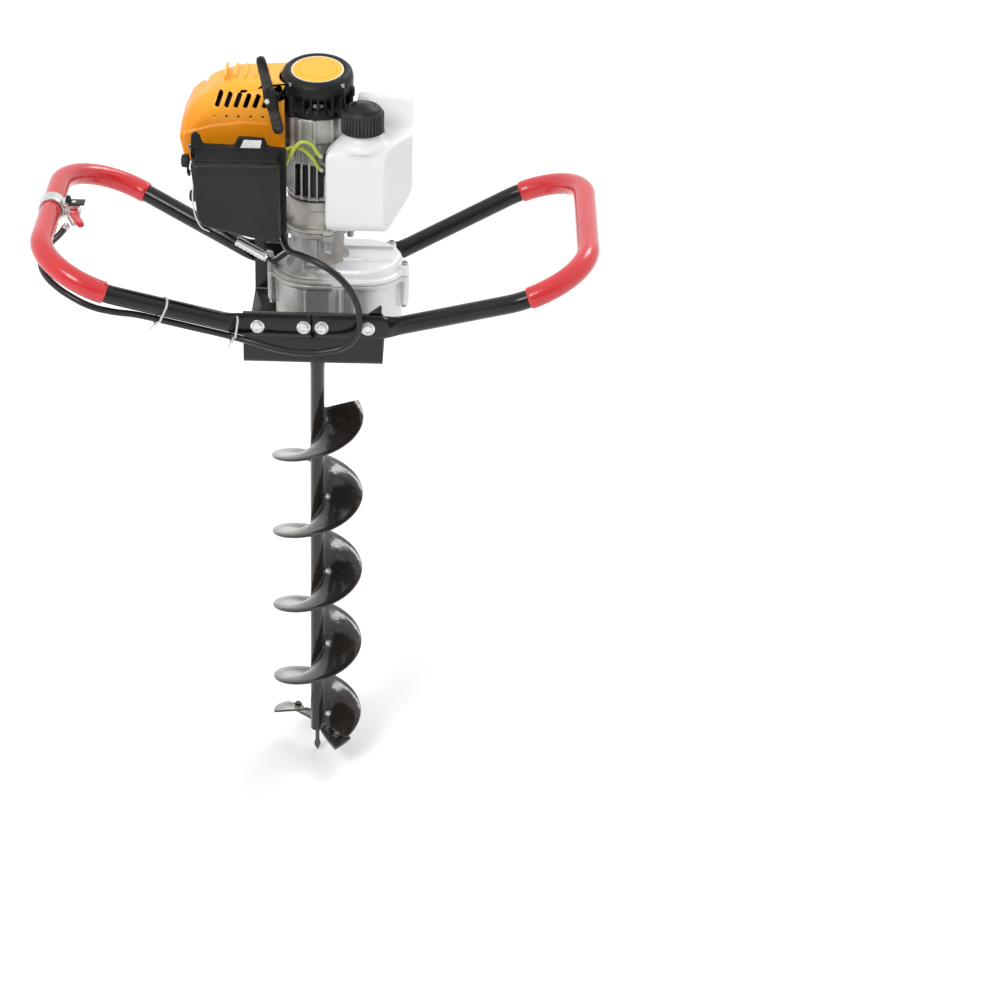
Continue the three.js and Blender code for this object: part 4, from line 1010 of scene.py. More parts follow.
def make_pull():
    """The pull handle, and its rope, which stays fixed in place."""
    centre = rope_point(HANDLE_AT)
    lean = Matrix.Rotation(math.radians(-13), 4, Vector((0, 1, 0))) @ UP
    profile = [(0.0015, -0.0545), (0.0046, -0.0540), (0.0066, -0.0520), (0.0076, -0.0480), (0.0074, -0.036),
               (0.0070, -0.022),
               (0.0078, -0.018), (0.0088, -0.012), (0.0088, 0), (0.0078, 0.008), (0.0070, 0.020),
               (0.0068, 0.036),
               (0.0064, 0.048), (0.0052, 0.0525), (0.0015, 0.0545)]
    grip = turned(profile, centre + lean * GRIP_RISE, lean, 40)
    neck = turned([(0.0060, -0.0145), (0.0066, -0.012), (0.0078, -0.004), (0.0080, 0.002)], centre, PULL,
                  32)
    grooves = []
    for k in range(-4, 5):
        if abs(k) > 1:
            ring_at = centre + lean * (0.0088 * k)
            grooves.append(turned([(0.0066, -0.0009), (0.0100, -0.0009), (0.0100, 0.0009), (0.0066, 0.0009),
                                   (0.0066, -0.0009)],
                                  ring_at, lean, 40))
    piece("pull_handle_grip", [grip, neck], black_plastic, cuts=grooves, edge=0.0004, body="starter_handle",
          stands_for=["starter_handle"])
    knot = turned([(0.0010, 0), (0.0030, 0.0006), (0.0036, 0.002), (0.0030, 0.0036), (0.0008, 0.0044)],
                  centre + PULL * 0.0075, PULL, 24)
    piece("rope_knot", [knot], nylon, body="starter_handle")
    start, end = rope_point(0.030), rope_point(HANDLE_AT - 0.0138)
    points = [start.lerp(end, k / 60) for k in range(61)]
    strands = []
    for phase in (0, 1, 2):
        route = []
        for k, p in enumerate(points):
            angle = 2 * math.pi * (k / 12 + phase / 3)
            side = Vector((PULL.y, -PULL.x, 0))
            route.append(p + side * 0.0009 * math.cos(angle) + UP * 0.0009 * math.sin(angle))
        strands.append(swept(route, 0.00115, 10))
    rope = to_object("pull_rope", joined(*strands), rubber)
    outward(rope)
    shade(rope, 60)
    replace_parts(rope, "starter_rope")
    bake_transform(rope)


COVER_FRONT = -0.0435
COVER_BACK = 0.048


def make_cylinder_cover():
    outline = rounded([(-0.040, 0.262, 0.002), (-0.174, 0.262, 0.006), (-0.183, 0.304, 0.030),
                       (-0.168, 0.335, 0.03),
                       (-0.138, 0.357, 0.035), (-0.105, 0.368, 0.03), (-0.040, 0.370, 0.002)], 0.003, 7)

    def shoulder(radius):
        def amount(k):
            angle = math.pi / 2 * k
            return lambda p: (radius if p.y > 0.30 and p.x < -0.044
                              else 0.004) * (1 - math.cos(angle)) * min(1, max(0.12, (p.y - 0.285) / 0.05))
        return amount

    def dome(front, back, radius, shrink):
        outside = inset(outline, shrink) if shrink else outline
        amount = shoulder(radius)
        layers = [(front + radius * (1 - math.sin(math.pi / 2 * k / 9)), amount(k / 9))
                  for k in range(9, -1, -1)]
        layers += [(back - 0.010 * (1 - math.sin(math.pi / 2 * k / 4)), amount(k / 4 * 0.35))
                   for k in range(5)]
        return frontal(outside, layers)

    outside = dome(COVER_FRONT, COVER_BACK, 0.030, 0)
    inside = dome(COVER_FRONT + 0.003, COVER_BACK - 0.003, 0.028, 0.003)
    floor_cut = block((-0.170, -0.062), (-0.038, 0.042), (0.24, 0.30))
    side_cut = block((-0.10, -0.03), (-0.036, 0.040), (0.27, 0.36))
    starter_room = rod(at(0, 0, 0.25), at(0, 0, 0.39), 0.0505, 0, 64)
    rope_room = rod(rope_point(0.02), rope_point(0.10), 0.0095, 0, 32)
    vents = []
    for k in range(6):
        x = -0.128 + 0.0125 * k
        slot = block((x - 0.0029, x + 0.0029), (-0.070, -0.016), (0.3385, 0.3575))
        vents.append(turned_about(slot, at(x, 0, 0.348), Vector((0, 1, 0)), 20))
    vents += [block((x - 0.003, x + 0.003), (0.03, 0.06), (0.29, 0.35))
              for x in (-0.15, -0.135, -0.12, -0.105, -0.09, -0.075)]
    dimples = [rod(at(-0.150 + 0.016 * k, -0.05, 0.3265), at(-0.150 + 0.016 * k, -0.0405, 0.3265), 0.0017,
                   0, 16) for k in range(6)]
    ribs = []
    for k in range(5):
        x = -0.122 + 0.0135 * k
        ribs.append(block((x - 0.002, x + 0.002), (-0.010, 0.036), (0.3630, 0.3728)))
    crease = frontal(rounded([(-0.176, 0.264), (-0.060, 0.264), (-0.060, 0.318), (-0.098, 0.320),
                              (-0.14, 0.314), (-0.176, 0.303)], 0.006, 5),
                     [(COVER_FRONT - 0.0016, 0.0015), (COVER_FRONT - 0.0006, 0), (COVER_FRONT + 0.002, 0)])
    piece("cylinder_cover_moulding", [outside, crease, *ribs], orange_plastic,
          cuts=[inside, floor_cut, side_cut, starter_room, rope_room, *vents, *dimples],
          voxel=0.0011, passes=2, stands_for=["cylinder_cover"])
    # Painted shade: a black shell inside the cover, so that the vents read dark.
    painted_shade_liner = dome(COVER_FRONT + 0.009, COVER_BACK - 0.010, 0.024, 0.008)
    piece("cover_painted_shade_liner", [painted_shade_liner], black_plastic, cuts=[
        dome(COVER_FRONT + 0.0105, COVER_BACK - 0.0115, 0.023, 0.0095),
        block((-0.1655, -0.03), (-0.03, 0.034), (0.24, 0.29)),
        block((-0.10, -0.03), (-0.033, 0.036), (0.27, 0.40)), starter_room, rope_room])
    screw = cap_screw(at(-0.166, COVER_FRONT - 0.001, 0.285), Vector((0, -1, 0)), 0.0036)
    piece("cover_screw", [screw], machined)


AIR_FRONT = -0.110
AIR_BACK = -0.073


def make_air_filter():
    outline = rounded([(-0.162, 0.2855, 0.005), (-0.044, 0.2855, 0.007), (-0.044, 0.177, 0.010),
                       (-0.052, 0.1735, 0.012),
                       (-0.146, 0.196, 0.014), (-0.153, 0.206, 0.012)], 0.004, 6)
    cover = frontal(outline, [(y, 0.8 * a) for y, a in edge_layers(AIR_FRONT, AIR_BACK - 0.006, 0.006,
        0.0012)])
    panel = frontal(inset(outline, 0.009), [(AIR_FRONT - 0.0012, 0.003), (AIR_FRONT - 0.0004, 0.0006),
                                            (AIR_FRONT + 0.003, 0)])
    hollow = frontal(inset(outline, 0.004), [(AIR_FRONT + 0.004, 0.002), (AIR_BACK + 0.002, 0)])
    latch_ribs = [block((x - 0.001, x + 0.001), (AIR_FRONT + 0.012, AIR_BACK - 0.008), (0.2865, 0.2895))
                  for x in (-0.13, -0.12, -0.11)]
    piece("air_filter_lid", [cover, panel, *latch_ribs], box_plastic, cuts=[hollow], voxel=0.0012, passes=3,
          stands_for=["air_filter_cover"])
    back_outline = rounded([(-0.1635, 0.287, 0.003), (-0.1625, 0.314, 0.003), (-0.1565, 0.319, 0.003),
                            (-0.151, 0.314, 0.003),
                            (-0.147, 0.3015, 0.004), (-0.106, 0.3000, 0.004), (-0.100, 0.3125, 0.003),
                            (-0.066, 0.3110, 0.003), (-0.0605, 0.2990, 0.003),
                            (-0.0370, 0.2970, 0.003), (-0.0370, 0.175, 0.006), (-0.050, 0.173, 0.006),
                            (-0.147, 0.195, 0.006), (-0.1545, 0.205, 0.006)],
                           0.002, 4)
    base = frontal(back_outline, [(AIR_BACK - 0.0058, 0.0008), (AIR_BACK - 0.005, 0),
                                  (AIR_BACK - 0.0008, 0), (AIR_BACK, 0.0008)])
    intake = rod(at(-0.080, -0.09, 0.25), at(-0.080, -0.06, 0.25), 0.007, 0, 32)
    lip = sideways([(AIR_FRONT + 0.010, 0.2850), (AIR_BACK - 0.004, 0.2850), (AIR_BACK - 0.004, 0.2985),
                    (AIR_FRONT + 0.010, 0.2868)],
                   -0.1560, -0.0480)
    piece("air_filter_backplate", [base, lip], black_plastic, cuts=[intake], voxel=0.0011, passes=2,
          stands_for=["air_filter_base"])
    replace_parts(piece("filter_foam_pad", [frontal(rounded([(-0.140, 0.276), (-0.050, 0.276),
                                                           (-0.050, 0.196), (-0.134, 0.212)], 0.004, 5),
                                                  edge_layers(AIR_BACK - 0.025, AIR_BACK - 0.0054, 0.003,
                                                              0.001))], foam),
                "filter_element")
    label = frontal(rounded([(-0.0980, 0.2965), (-0.0715, 0.2965), (-0.0690, 0.3085), (-0.0925, 0.3090)],
                            0.001, 4),
                    [(AIR_BACK - 0.0064, 0), (AIR_BACK - 0.0052, 0)])
    piece("plain_label", [label], sticker)
    knobs = []
    knobs.append(turned([(0.0030, -0.006), (0.0070, 0), (0.0080, 0.003), (0.0080, 0.008), (0.0060, 0.010),
                         (0.002, 0.0105)],
                        at(-0.1545, -0.090, 0.233), Vector((-1, 0, 0)), 20))
    piece("filter_latches", knobs, black_plastic, edge=0.0003)
    lever = [rod(at(-0.1635, -0.082, 0.262), at(-0.1672, -0.082, 0.262), 0.0042, 0.0005, 24),
             block((-0.1682, -0.1652), (-0.0852, -0.0788), (0.262, 0.288)),
             turned([(0.0036, 0), (0.0086, 0.0012), (0.0090, 0.0060), (0.0086, 0.0100), (0.0050, 0.0115)],
                    at(-0.1640, -0.082, 0.279),
                    Vector((-1, 0, 0)), 28)]
    piece("choke_lever_arm", lever, black_plastic, edge=0.0006, body="choke_lever",
          stands_for=["choke_lever"])
    clip = swept(smooth_route([at(x, y, h) for x, y, h in ((-0.1565, -0.105, 0.262),
                                                           (-0.1590, -0.107, 0.240),
                                                           (-0.1565, -0.107, 0.215),
                                                           (-0.1490, -0.106, 0.196),
                                                           (-0.1380, -0.104, 0.188))]), 0.0011, 10)
    piece("filter_spring_clip", [clip], zinc)


def make_carburettor():
    body = block((-0.092, -0.062), (AIR_BACK + 0.0006, -0.0442), (0.2370, 0.2638))
    bowl = turned([(0.0105, 0), (0.0115, 0.002), (0.0115, 0.010)], at(-0.077, -0.058, 0.2345), UP, 32)
    flange_in = block((-0.098, -0.056), (-0.0480, -0.0440), (0.238, 0.262))
    nipple = turned([(0.0050, 0), (0.0050, 0.004), (0.0040, 0.005), (0.0034, 0.0085)],
                    at(-0.0625, -0.058, 0.250), Vector((1, 0, 0)), 24)
    intake = rod(at(-0.080, -0.09, 0.25), at(-0.080, -0.03, 0.25), 0.007, 0, 32)
    primer_seat = rod(at(-0.077, -0.058, 0.22), at(-0.077, -0.058, 0.2425), 0.0086, 0, 32)
    piece("carburettor_body", [body, bowl, flange_in, nipple], cast_alloy, cuts=[intake, primer_seat],
          edge=0.0012,
          stands_for=["carburettor"])
    screws = [cap_screw(at(x, y, 0.2638), UP, 0.0022) for x in (-0.089, -0.0655)
              for y in (-0.0695, -0.0475)]
    screws.append(cap_screw(at(-0.062, -0.066, 0.244), Vector((1, 0, 0)), 0.0024))
    piece("carburettor_screws", [joined(*screws)], brass)


# ---- fuel ----
CAP_X, CAP_Y = 0.062, -0.047
TANK_LOW, TANK_TOP = 0.175, 0.333
CAP_LOW = 0.313
CAP_RIBS = 36
CAP_RIB_RADIUS = 0.0267


def tank_form(shrink):
    plan = rounded([(0.014, -0.076), (0.092, -0.076), (0.128, -0.024), (0.128, 0.048), (0.052, 0.048),
                    (0.051, -0.010),
                    (0.044, -0.027), (0.031, -0.040), (0.014, -0.049)], 0.004, 4)
    side = rounded([(-0.076, 0.186, 0.014), (-0.068, TANK_LOW, 0.012), (0.048, TANK_LOW),
                    (0.048, TANK_TOP, 0.01), (0.022, TANK_TOP, 0.014),
                    (-0.008, 0.301, 0.02), (-0.058, 0.299, 0.02), (-0.076, 0.287, 0.016)], 0.005, 5)
    front = rounded([(0.014, TANK_LOW, 0.014), (0.096, TANK_LOW, 0.012), (0.128, 0.216, 0.018),
                     (0.128, TANK_TOP, 0.012), (0.052, TANK_TOP, 0.01),
                     (0.048, 0.306, 0.01), (0.032, 0.302, 0.012), (0.014, 0.286, 0.014)], 0.005, 5)
    return (upright(inset(plan, shrink), TANK_LOW - 0.01, TANK_TOP + 0.01),
            sideways(inset(side, shrink), -0.02, 0.16),
            frontal(inset(front, shrink), [(-0.09, 0), (0.08, 0)]))


def make_tank():
    outer = tank_form(0)
    tank = to_object("fuel_tank_shell", outer[0], white_tank)
    outward(tank)
    combine(tank, outer[1], "INTERSECT")
    combine(tank, outer[2], "INTERSECT")
    neck = turned([(0.034, 0.290), (0.0335, 0.2985), (0.0262, 0.3045), (0.0240, 0.3115), (0.0203, 0.3120),
                   (0.0203, 0.3316), (0.0199, 0.3320)],
                  at(CAP_X, CAP_Y, 0), UP, 48)
    combine(tank, neck, "UNION")
    soften(tank, 0.0020, 9)
    shade(tank, 60)
    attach(tank, "root")
    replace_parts(tank, "fuel_tank")
    ribs = []
    for k in range(CAP_RIBS):
        angle = 2 * math.pi * k / CAP_RIBS
        x, y = CAP_X + CAP_RIB_RADIUS * math.cos(angle), CAP_Y + CAP_RIB_RADIUS * math.sin(angle)
        ribs.append(rod(at(x, y, CAP_LOW + 0.0015), at(x, y, CAP_LOW + 0.0260), 0.0017, 0.0008, 8))
    profile = [(0.0260, 0), (0.0273, 0.0008), (0.0273, 0.0020), (0.0265, 0.0028), (0.0265, 0.0260),
               (0.0252, 0.0295), (0.0222, 0.0328),
               (0.0175, 0.0348), (0.0165, 0.0342), (0.0153, 0.0350), (0.0001, 0.0378)]
    cap = turned([(radius, CAP_LOW + rise) for radius, rise in profile], at(CAP_X, CAP_Y, 0), UP, 72)
    inside = turned([(0.0207, CAP_LOW - 0.004), (0.0207, 0.3350)], at(CAP_X, CAP_Y, 0), UP, 48)
    piece("fuel_cap_moulding", [cap, *ribs], black_plastic, cuts=[inside], body="fuel_cap",
          stands_for=["fuel_cap"])
    strap = [(0.0255, -0.0006), (0.0282, -0.0006), (0.0282, 0.0008), (0.0255, 0.0008), (0.0255, -0.0006)]
    tether = turned([(radius, CAP_LOW + rise) for radius, rise in strap], at(CAP_X, CAP_Y, 0), UP, 48)
    piece("cap_tether_ring", [tether], black_plastic, body="fuel_cap")


def make_hoses():
    feed = [(-0.061, -0.066, 0.243), (-0.050, -0.067, 0.246), (-0.038, -0.066, 0.272),
            (-0.022, -0.062, 0.298),
            (-0.006, -0.062, 0.298), (0.004, -0.062, 0.284), (0.012, -0.062, 0.278)]
    back = [(-0.064, -0.054, 0.257), (-0.052, -0.052, 0.266), (-0.038, -0.054, 0.286),
            (-0.020, -0.056, 0.289),
            (-0.004, -0.056, 0.276), (0.004, -0.056, 0.262), (0.013, -0.056, 0.256)]
    for name, route in (("fuel_hose_feed", feed), ("fuel_hose_return", back)):
        made = piece(name, [swept(smooth_route([at(*p) for p in route]), 0.0027, 16)], hose_yellow,
                     sharp=60)
        if name == "fuel_hose_feed":
            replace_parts(made, "fuel_hose")
    clips = []
    for route in (feed, back):
        for a, b in ((route[0], route[1]), (route[-1], route[-2])):
            place, ahead = at(*a), at(*b)
            along = (ahead - place).normalized()
            for k in range(3):
                clips.append(turned([(0.0027, 0), (0.0035, 0), (0.0035, 0.0009), (0.0027, 0.0009),
                                     (0.0027, 0)],
                                    place + along * (0.004 + 0.0014 * k), along, 20))
    piece("hose_clips", [joined(*clips)], zinc)
    grommets = [turned([(0.0030, 0), (0.0062, 0), (0.0066, 0.0015), (0.0048, 0.0028), (0.0034, 0.0034)],
                       at(0.0138, y, h), Vector((-1, 0, 0)), 24)
                for y, h in ((-0.062, 0.278), (-0.056, 0.256))]
    piece("tank_grommets", [joined(*grommets)], rubber)
    loop = smooth_route([at(*p) for p in ((0.052, 0.004, 0.300), (0.050, 0.002, 0.318),
                                          (0.040, -0.004, 0.330), (0.034, -0.014, 0.322),
                                          (0.040, -0.020, 0.308), (0.052, -0.018, 0.306))])
    piece("tank_breather_loop", [swept(loop, 0.0018, 12)], grey_hose, sharp=60)
    pipe = [rod(at(0.086, -0.020, 0.300), at(0.086, -0.020, 0.324), 0.0030, 0.0006, 20),
            turned([(0.0046, 0.0), (0.0052, 0.001), (0.0052, 0.003), (0.0034, 0.004)],
                   at(0.086, -0.020, 0.3005), UP, 24)]
    piece("tank_breather_pipe", pipe, grey_hose)


# ---- muffler and plug ----
def make_muffler():
    outline = rounded([(-0.118, 0.217), (-0.053, 0.217), (-0.053, 0.257), (-0.118, 0.257)], 0.008, 6)
    can = frontal(outline, edge_layers(0.0463, 0.0840, 0.006, 0.006))
    seam = frontal(inset(outline, -0.0016), [(0.0640, 0.001), (0.0643, 0), (0.0660, 0), (0.0663, 0.001)])
    port = frontal(rounded([(-0.098, 0.2382), (-0.062, 0.2382), (-0.062, 0.2578), (-0.098, 0.2578)], 0.002,
                           3),
                   [(0.0434, 0), (0.050, 0)])
    outlet = rod(at(-0.108, 0.070, 0.2185), at(-0.108, 0.070, 0.2100), 0.0060, 0.0004, 28)
    outlet_hole = rod(at(-0.108, 0.070, 0.222), at(-0.108, 0.070, 0.200), 0.0045, 0, 24)
    slots = [block((-0.112 + 0.0115 * k, -0.107 + 0.0115 * k), (0.0815, 0.09), (0.226, 0.248))
             for k in range(5)]
    piece("muffler_can", [can, seam, port, outlet], scorched, cuts=[outlet_hole, *slots], edge=0.0005,
          stands_for=["muffler"])
    bolts = [hexagon(at(x, 0.0838, 0.237), at(x, 0.0880, 0.237), 0.0046)
             for x in (-0.1165 + 0.004, -0.0555)]
    piece("muffler_bolts", [joined(*bolts)], machined)


def make_plug_cap():
    boot = turned([(0.0040, 0), (0.0090, 0.0005), (0.0096, 0.004), (0.0085, 0.012), (0.0075, 0.020),
                   (0.0050, 0.0225)],
                  at(-0.1440, 0, 0.250), Vector((-1, 0, 0)), 32)
    elbow = swept(smooth_route([at(-0.158, 0, 0.252), at(-0.160, 0.001, 0.262), at(-0.155, 0.004, 0.280),
                                at(-0.140, 0.006, 0.300),
                                at(-0.110, 0.010, 0.318)]), 0.0035, 14)
    piece("plug_boot", [joined(boot, elbow)], rubber, sharp=50)


def make_lead_sleeve():
    """The sleeve over the stop lead's joint, under the filter box."""
    start, end = at(-0.104, -0.086, 0.1680), at(-0.062, -0.092, 0.1460)
    along = (end - start).normalized()
    length = (end - start).length
    profile = [(0.0030, 0), (0.0062, 0.0010)]
    for k in range(8):
        d = 0.004 + k * (length - 0.008) / 7
        profile += [(0.0066, d), (0.0058, d + 0.0016)]
    profile += [(0.0062, length - 0.001), (0.0030, length)]
    piece("stop_lead_sleeve", [turned(profile, start, along, 28)], zinc)
    tail_in = swept(smooth_route([start + along * 0.002, start - along * 0.008, at(-0.122, -0.082, 0.180),
                                  at(-0.126, -0.076, 0.194)]), 0.0032, 14)
    tail_out = swept(smooth_route([end - along * 0.002, end + along * 0.010, at(-0.044, -0.088, 0.1460),
                                   at(-0.032, -0.082, 0.1530)]), 0.0032, 14)
    piece("stop_lead_tails", [joined(tail_in, tail_out)], rubber, sharp=60)


# ---- trigger ----
TRIGGER = (-0.333, 0.008)


def make_trigger():
    z = LOOP_Z
    band_axis = Vector((0, 1, 0))
    band = turned([(0.0153, 0), (0.0183, 0), (0.0186, 0.001), (0.0186, 0.023), (0.0183, 0.024),
                   (0.0153, 0.024), (0.0153, 0)],
                  at(-LOOP_X, -0.002, z), band_axis, 64)
    arm = block((-0.350, -0.341), (0.0008, 0.022), (z - 0.010, z + 0.010))
    plates = [block((-0.346, -0.324), (-0.002, 0.018), (z + s - 0.002, z + s + 0.002))
              for s in (-0.006, 0.006)]
    pin_hole = rod(at(*TRIGGER, z - 0.012), at(*TRIGGER, z + 0.012), 0.0028, 0, 24)
    sleeve_cut = rod(at(-LOOP_X, -0.006, z), at(-LOOP_X, 0.026, z), 0.0153, 0, 64)
    switch_seat = block((-0.345, -0.3375), (0.006, 0.018), (z + 0.005, z + 0.012))
    piece("trigger_band", [band, arm, *plates], zinc, cuts=[pin_hole, sleeve_cut, switch_seat], edge=0.0005,
          stands_for=["trigger_clamp"])
    piece("stop_button", [block((-0.3446, -0.3379), (0.0064, 0.0176), (z + 0.0082, z + 0.014)),
                          rod(at(-0.3412, 0.012, z + 0.013), at(-0.3412, 0.012, z + 0.0172), 0.0030, 0.0006,
                              20)],
          black_plastic, edge=0.0006, body="stop_switch", stands_for=["stop_switch"])
    guard = [block((-0.3400, -0.3180), (-0.0015, 0.0170), (z + 0.0085, z + 0.0105))]
    piece("trigger_guard", guard, black_plastic, edge=0.0006)
    anchor, hook = at(-0.3375, -0.006, z - 0.0075), at(-0.3290, -0.028, z - 0.0075)
    coil = []
    for k in range(121):
        angle = 2 * math.pi * 8 * k / 120
        coil.append(anchor.lerp(hook, k / 120) + Vector((math.cos(angle) * 0.0031, 0,
                                                         math.sin(angle) * 0.0031)))
    spring = to_object("trigger_spring", swept(coil, 0.0007, 8), zinc)
    outward(spring)
    shade(spring, 60)
    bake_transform(spring)
    lever = throttle_lever_shape(z)
    piece("trigger_lever", [lever], red_vinyl, edge=0.0014, body="throttle_trigger",
          stands_for=["throttle_trigger"])
    piece("trigger_pin", [turned([(0.0034, -0.0105), (0.0040, -0.0095), (0.0025, -0.0085), (0.0025, 0.0095),
                                  (0.0036, 0.0100), (0.0030, 0.0108)],
                                 at(*TRIGGER, z), UP, 24)], zinc, body="throttle_trigger")


def bezier(p0, p1, p2, p3, steps=10):
    points = []
    for k in range(steps):
        t = k / steps
        points.append(tuple(Vector(p0) * (1 - t) ** 3 + Vector(p1) * 3 * t * (1 - t) ** 2 + Vector(p2) * 3
                            * t * t * (1 - t) + Vector(p3) * t ** 3))
    return points


def throttle_lever_shape(z):
    outline = bezier((-0.006, 0.004), (-0.002, 0.0085), (0.002, 0.0085), (0.006, 0.004), 8)
    outline += bezier((0.006, 0.004), (0.004, -0.018), (0.014, -0.034), (0.020, -0.052), 12)
    outline += bezier((0.020, -0.052), (0.018, -0.0575), (0.014, -0.0575), (0.012, -0.055), 6)
    outline += bezier((0.012, -0.055), (0.002, -0.036), (-0.005, -0.020), (-0.006, 0.004), 12)
    plan = [(TRIGGER[0] + x, TRIGGER[1] + y) for x, y in outline]
    return upright(plan, z - 0.0034, z + 0.0034)


# ---- bit ----
PITCH = 0.124
BIT_RADIUS = 0.065
BIT_SHAFT = 0.010
FLIGHT_TOP_Z = -0.130
FLIGHT_TOP_ANGLE = 30.0
FLIGHT_TURNS = 4.21
FLIGHT_END_ANGLE = FLIGHT_TOP_ANGLE - 360 * FLIGHT_TURNS
FLIGHT_LOW_Z = FLIGHT_TOP_Z - PITCH * FLIGHT_TURNS


def wound(section, start, end, start_z, step=4.0):
    """A section of (radius, rise) corners wound round the axis; rise is measured from the helix."""
    count = max(2, math.ceil(abs(end - start) / step))
    loops = []
    for k in range(count + 1):
        angle = start + (end - start) * k / count
        height = start_z + (angle - start) / 360 * PITCH
        loops.append([polar(r, angle, height + rise) for r, rise in section])
    return rings(loops)


def flight_section(inner, outer, thick):
    """A plate with a slightly rolled, rounded rim."""
    half = thick / 2
    upper = [(inner + (outer - 0.0012 - inner) * k / 6, half) for k in range(7)]
    nose = [(outer - 0.0004, half * 0.7), (outer, 0), (outer - 0.0004, -half * 0.7)]
    lower = [(inner + (outer - 0.0012 - inner) * k / 6, -half) for k in range(6, -1, -1)]
    return upper + nose + lower


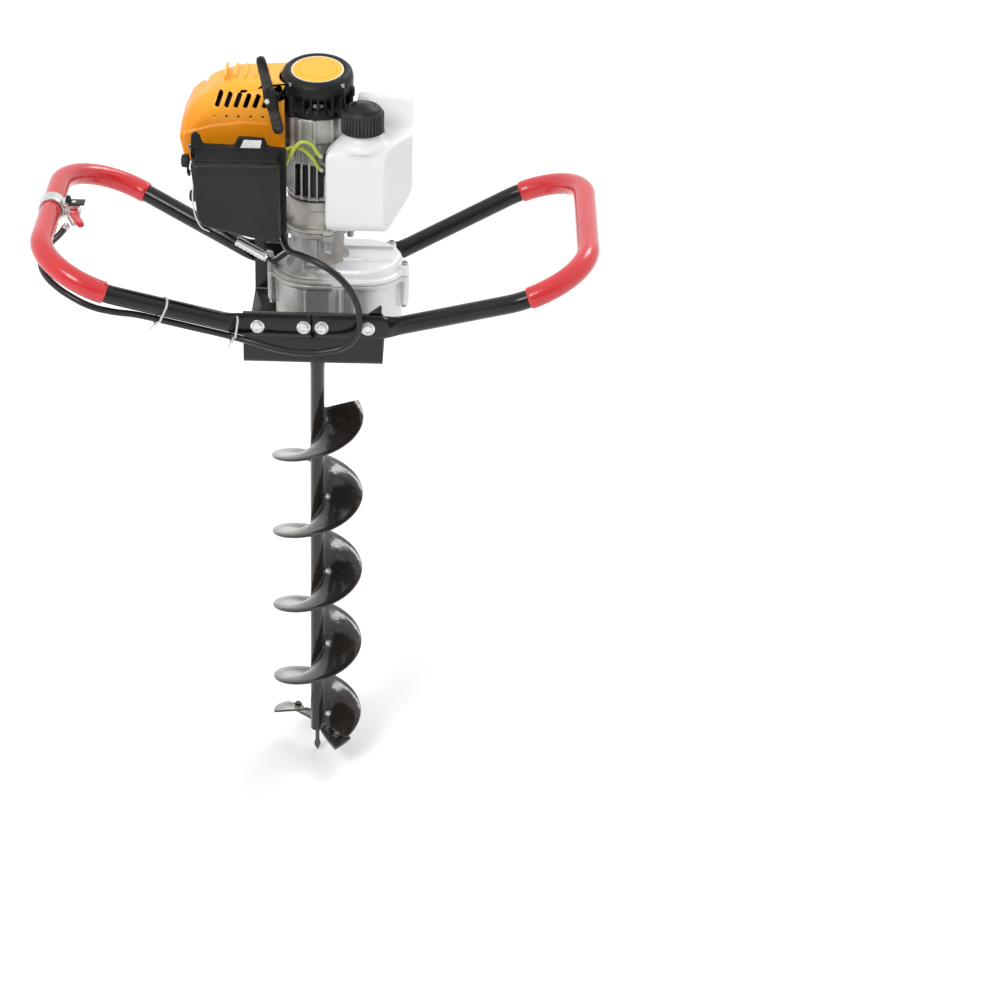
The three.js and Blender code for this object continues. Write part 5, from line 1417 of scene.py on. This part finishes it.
def make_bit():
    flight = wound(flight_section(BIT_SHAFT - 0.001, BIT_RADIUS, 0.0035), FLIGHT_TOP_ANGLE,
                   FLIGHT_END_ANGLE, FLIGHT_TOP_Z)
    second = wound(flight_section(BIT_SHAFT - 0.001, BIT_RADIUS, 0.0035), FLIGHT_END_ANGLE + 180,
                   FLIGHT_END_ANGLE + 235, FLIGHT_LOW_Z)
    shaft = turned([(0.0092, FLIGHT_LOW_Z - 0.014), (0.0100, FLIGHT_LOW_Z - 0.0132), (0.0100, -0.060),
                    (0.0106, -0.058), (0.0106, -0.0075),
                    (0.0099, -0.0063), (0.0076, -0.0063), (0.0074, -0.0080), (0.0074, -0.050),
                    (0.0001, -0.051)], at(0, 0, 0), UP, 48)
    piece("bit_shaft", [shaft], flight_paint, body="auger", stands_for=["auger_bit"])
    piece("bit_flight", [flight], flight_paint, body="auger", sharp=50)
    piece("bit_second_start", [second], flight_paint, body="auger", sharp=50)
    beads = []
    for side in (1, -1):
        route = []
        count = 420
        for k in range(count + 1):
            angle = FLIGHT_TOP_ANGLE + (FLIGHT_END_ANGLE - FLIGHT_TOP_ANGLE) * k / count
            height = FLIGHT_TOP_Z + (angle - FLIGHT_TOP_ANGLE) / 360 * PITCH + side * 0.0026
            route.append(polar(BIT_SHAFT + 0.0008, angle, height))
        lumps = [0.0019 + 0.0006 * noise.noise(p * 260) for p in route]
        beads.append(swept_lumpy(route, lumps))
    piece("weld_beads", [joined(*beads)], flight_paint, body="auger", sharp=70)
    for name, offset in (("right", 0), ("left", 180)):
        start = FLIGHT_END_ANGLE + offset + 6
        low = FLIGHT_LOW_Z - 0.0053 + 6 / 360 * PITCH
        section = [(BIT_SHAFT + 0.004, 0.002), (0.040, 0.002), (BIT_RADIUS + 0.0012, 0.002),
                   (BIT_RADIUS + 0.002, 0.0012),
                   (BIT_RADIUS + 0.002, -0.0012), (BIT_RADIUS + 0.0012, -0.002), (0.040, -0.002),
                   (BIT_SHAFT + 0.004, -0.002)]
        blade = toothed(wound(section, start, start - 26, low, 2.0), start - 26)
        piece(f"cutting_blade_{name}_edge", [blade], blade_steel, body="auger",
              stands_for=[f"cutting_blade_{name}"], edge=0.0003)
        heads = []
        for r in (0.028, 0.050):
            angle = start - 12
            place = polar(r, angle, low + (angle - start) / 360 * PITCH + 0.0045 + 0.0035)
            heads.append(hexagon(place, place + UP * 0.0034, 0.0046))
            heads.append(rod(place - UP * 0.0012, place + UP * 0.0004, 0.0058, 0.0003, 28))
        piece(f"blade_bolts_{name}", [joined(*heads)], blade_steel, body="auger")
    tip = turned([(0.0002, TIP - BASE + 0.0002), (0.0018, TIP - BASE + 0.003), (0.0044, TIP - BASE + 0.009),
                  (0.0048, TIP - BASE + 0.012),
                  (0.0044, TIP - BASE + 0.015), (0.0030, TIP - BASE + 0.019),
                  (0.0030, FLIGHT_LOW_Z - 0.022), (0.0040, FLIGHT_LOW_Z - 0.016),
                  (0.0040, FLIGHT_LOW_Z + 0.003)], at(0, 0, 0), UP, 32)
    piece("pilot_point", [tip], blade_steel, body="auger", stands_for=["pilot_tip"])
    collar = turned([(0.0108, -0.040), (0.0150, -0.0392), (0.0152, -0.0385), (0.0152, -0.0180),
                     (0.0148, -0.0172), (0.0108, -0.0172), (0.0108, -0.040)],
                    at(0, 0, 0), UP, 48)
    piece("coupling_collar", [collar], black_paint, body="auger")
    pin = [rod(at(0, -0.0175, -0.0262), at(0, 0.0175, -0.0262), 0.0030, 0.0004, 24),
           hexagon(at(0, -0.0175, -0.0262), at(0, -0.0220, -0.0262), 0.0052)]
    piece("coupling_bolt", pin, zinc, body="auger", stands_for=["coupling_pin"])


def swept_lumpy(route, radii):
    """A bead whose thickness changes along it."""
    lengths = [0.0]
    for a, b in zip(route, route[1:]):
        lengths.append(lengths[-1] + (b - a).length)
    table = dict(zip(lengths, radii))
    return swept(route, lambda d: table[d], 8)


def toothed(shape, end_angle):
    """Draws back the outer corners of the blade's leading edge a little."""
    verts = []
    for v in shape[0]:
        radius = math.hypot(v.x, v.y)
        angle = math.degrees(math.atan2(v.y, v.x))
        gap = (angle - end_angle) % 360
        if gap < 1 or gap > 359:
            shift = 1.6 if radius > 0.045 else 0
            turn = Matrix.Rotation(math.radians(shift), 4, UP)
            v = turn @ v
        verts.append(v)
    return verts, shape[1]


# ---- carried-over CAD nodes ----
def finish_cad_nodes():
    finishes = (
        (machined, "output_gear countershaft_gear countershaft input_pinion output_shaft output_bearing "
                   "countershaft_bearing input_bearing clutch_drum clutch_carrier crankshaft connecting_rod "
                   "spark_plug"),
        (cast_alloy, "clutch_shoe_1 clutch_shoe_2 piston cylinder flywheel"),
        (black_plastic, "starter_reel"),
        (zinc, "throttle_lever"),
        (hose_yellow, "primer_bulb"),
    )
    for material, names in finishes:
        for name in names.split():
            data = NODES[name].data
            data.materials.clear()
            data.materials.append(material)


bpy.context.scene.view_settings.view_transform = "Standard"
for make in (make_camera, make_cable, make_studio, make_handles, make_bolts, make_ties, make_bracket,
             make_gearbox, make_clutch_housing, make_crankcase, make_starter, make_pull,
             make_cylinder_cover, make_air_filter, make_carburettor, make_tank, make_hoses, make_muffler,
             make_plug_cap, make_lead_sleeve, make_trigger, make_bit, finish_cad_nodes):
    make()
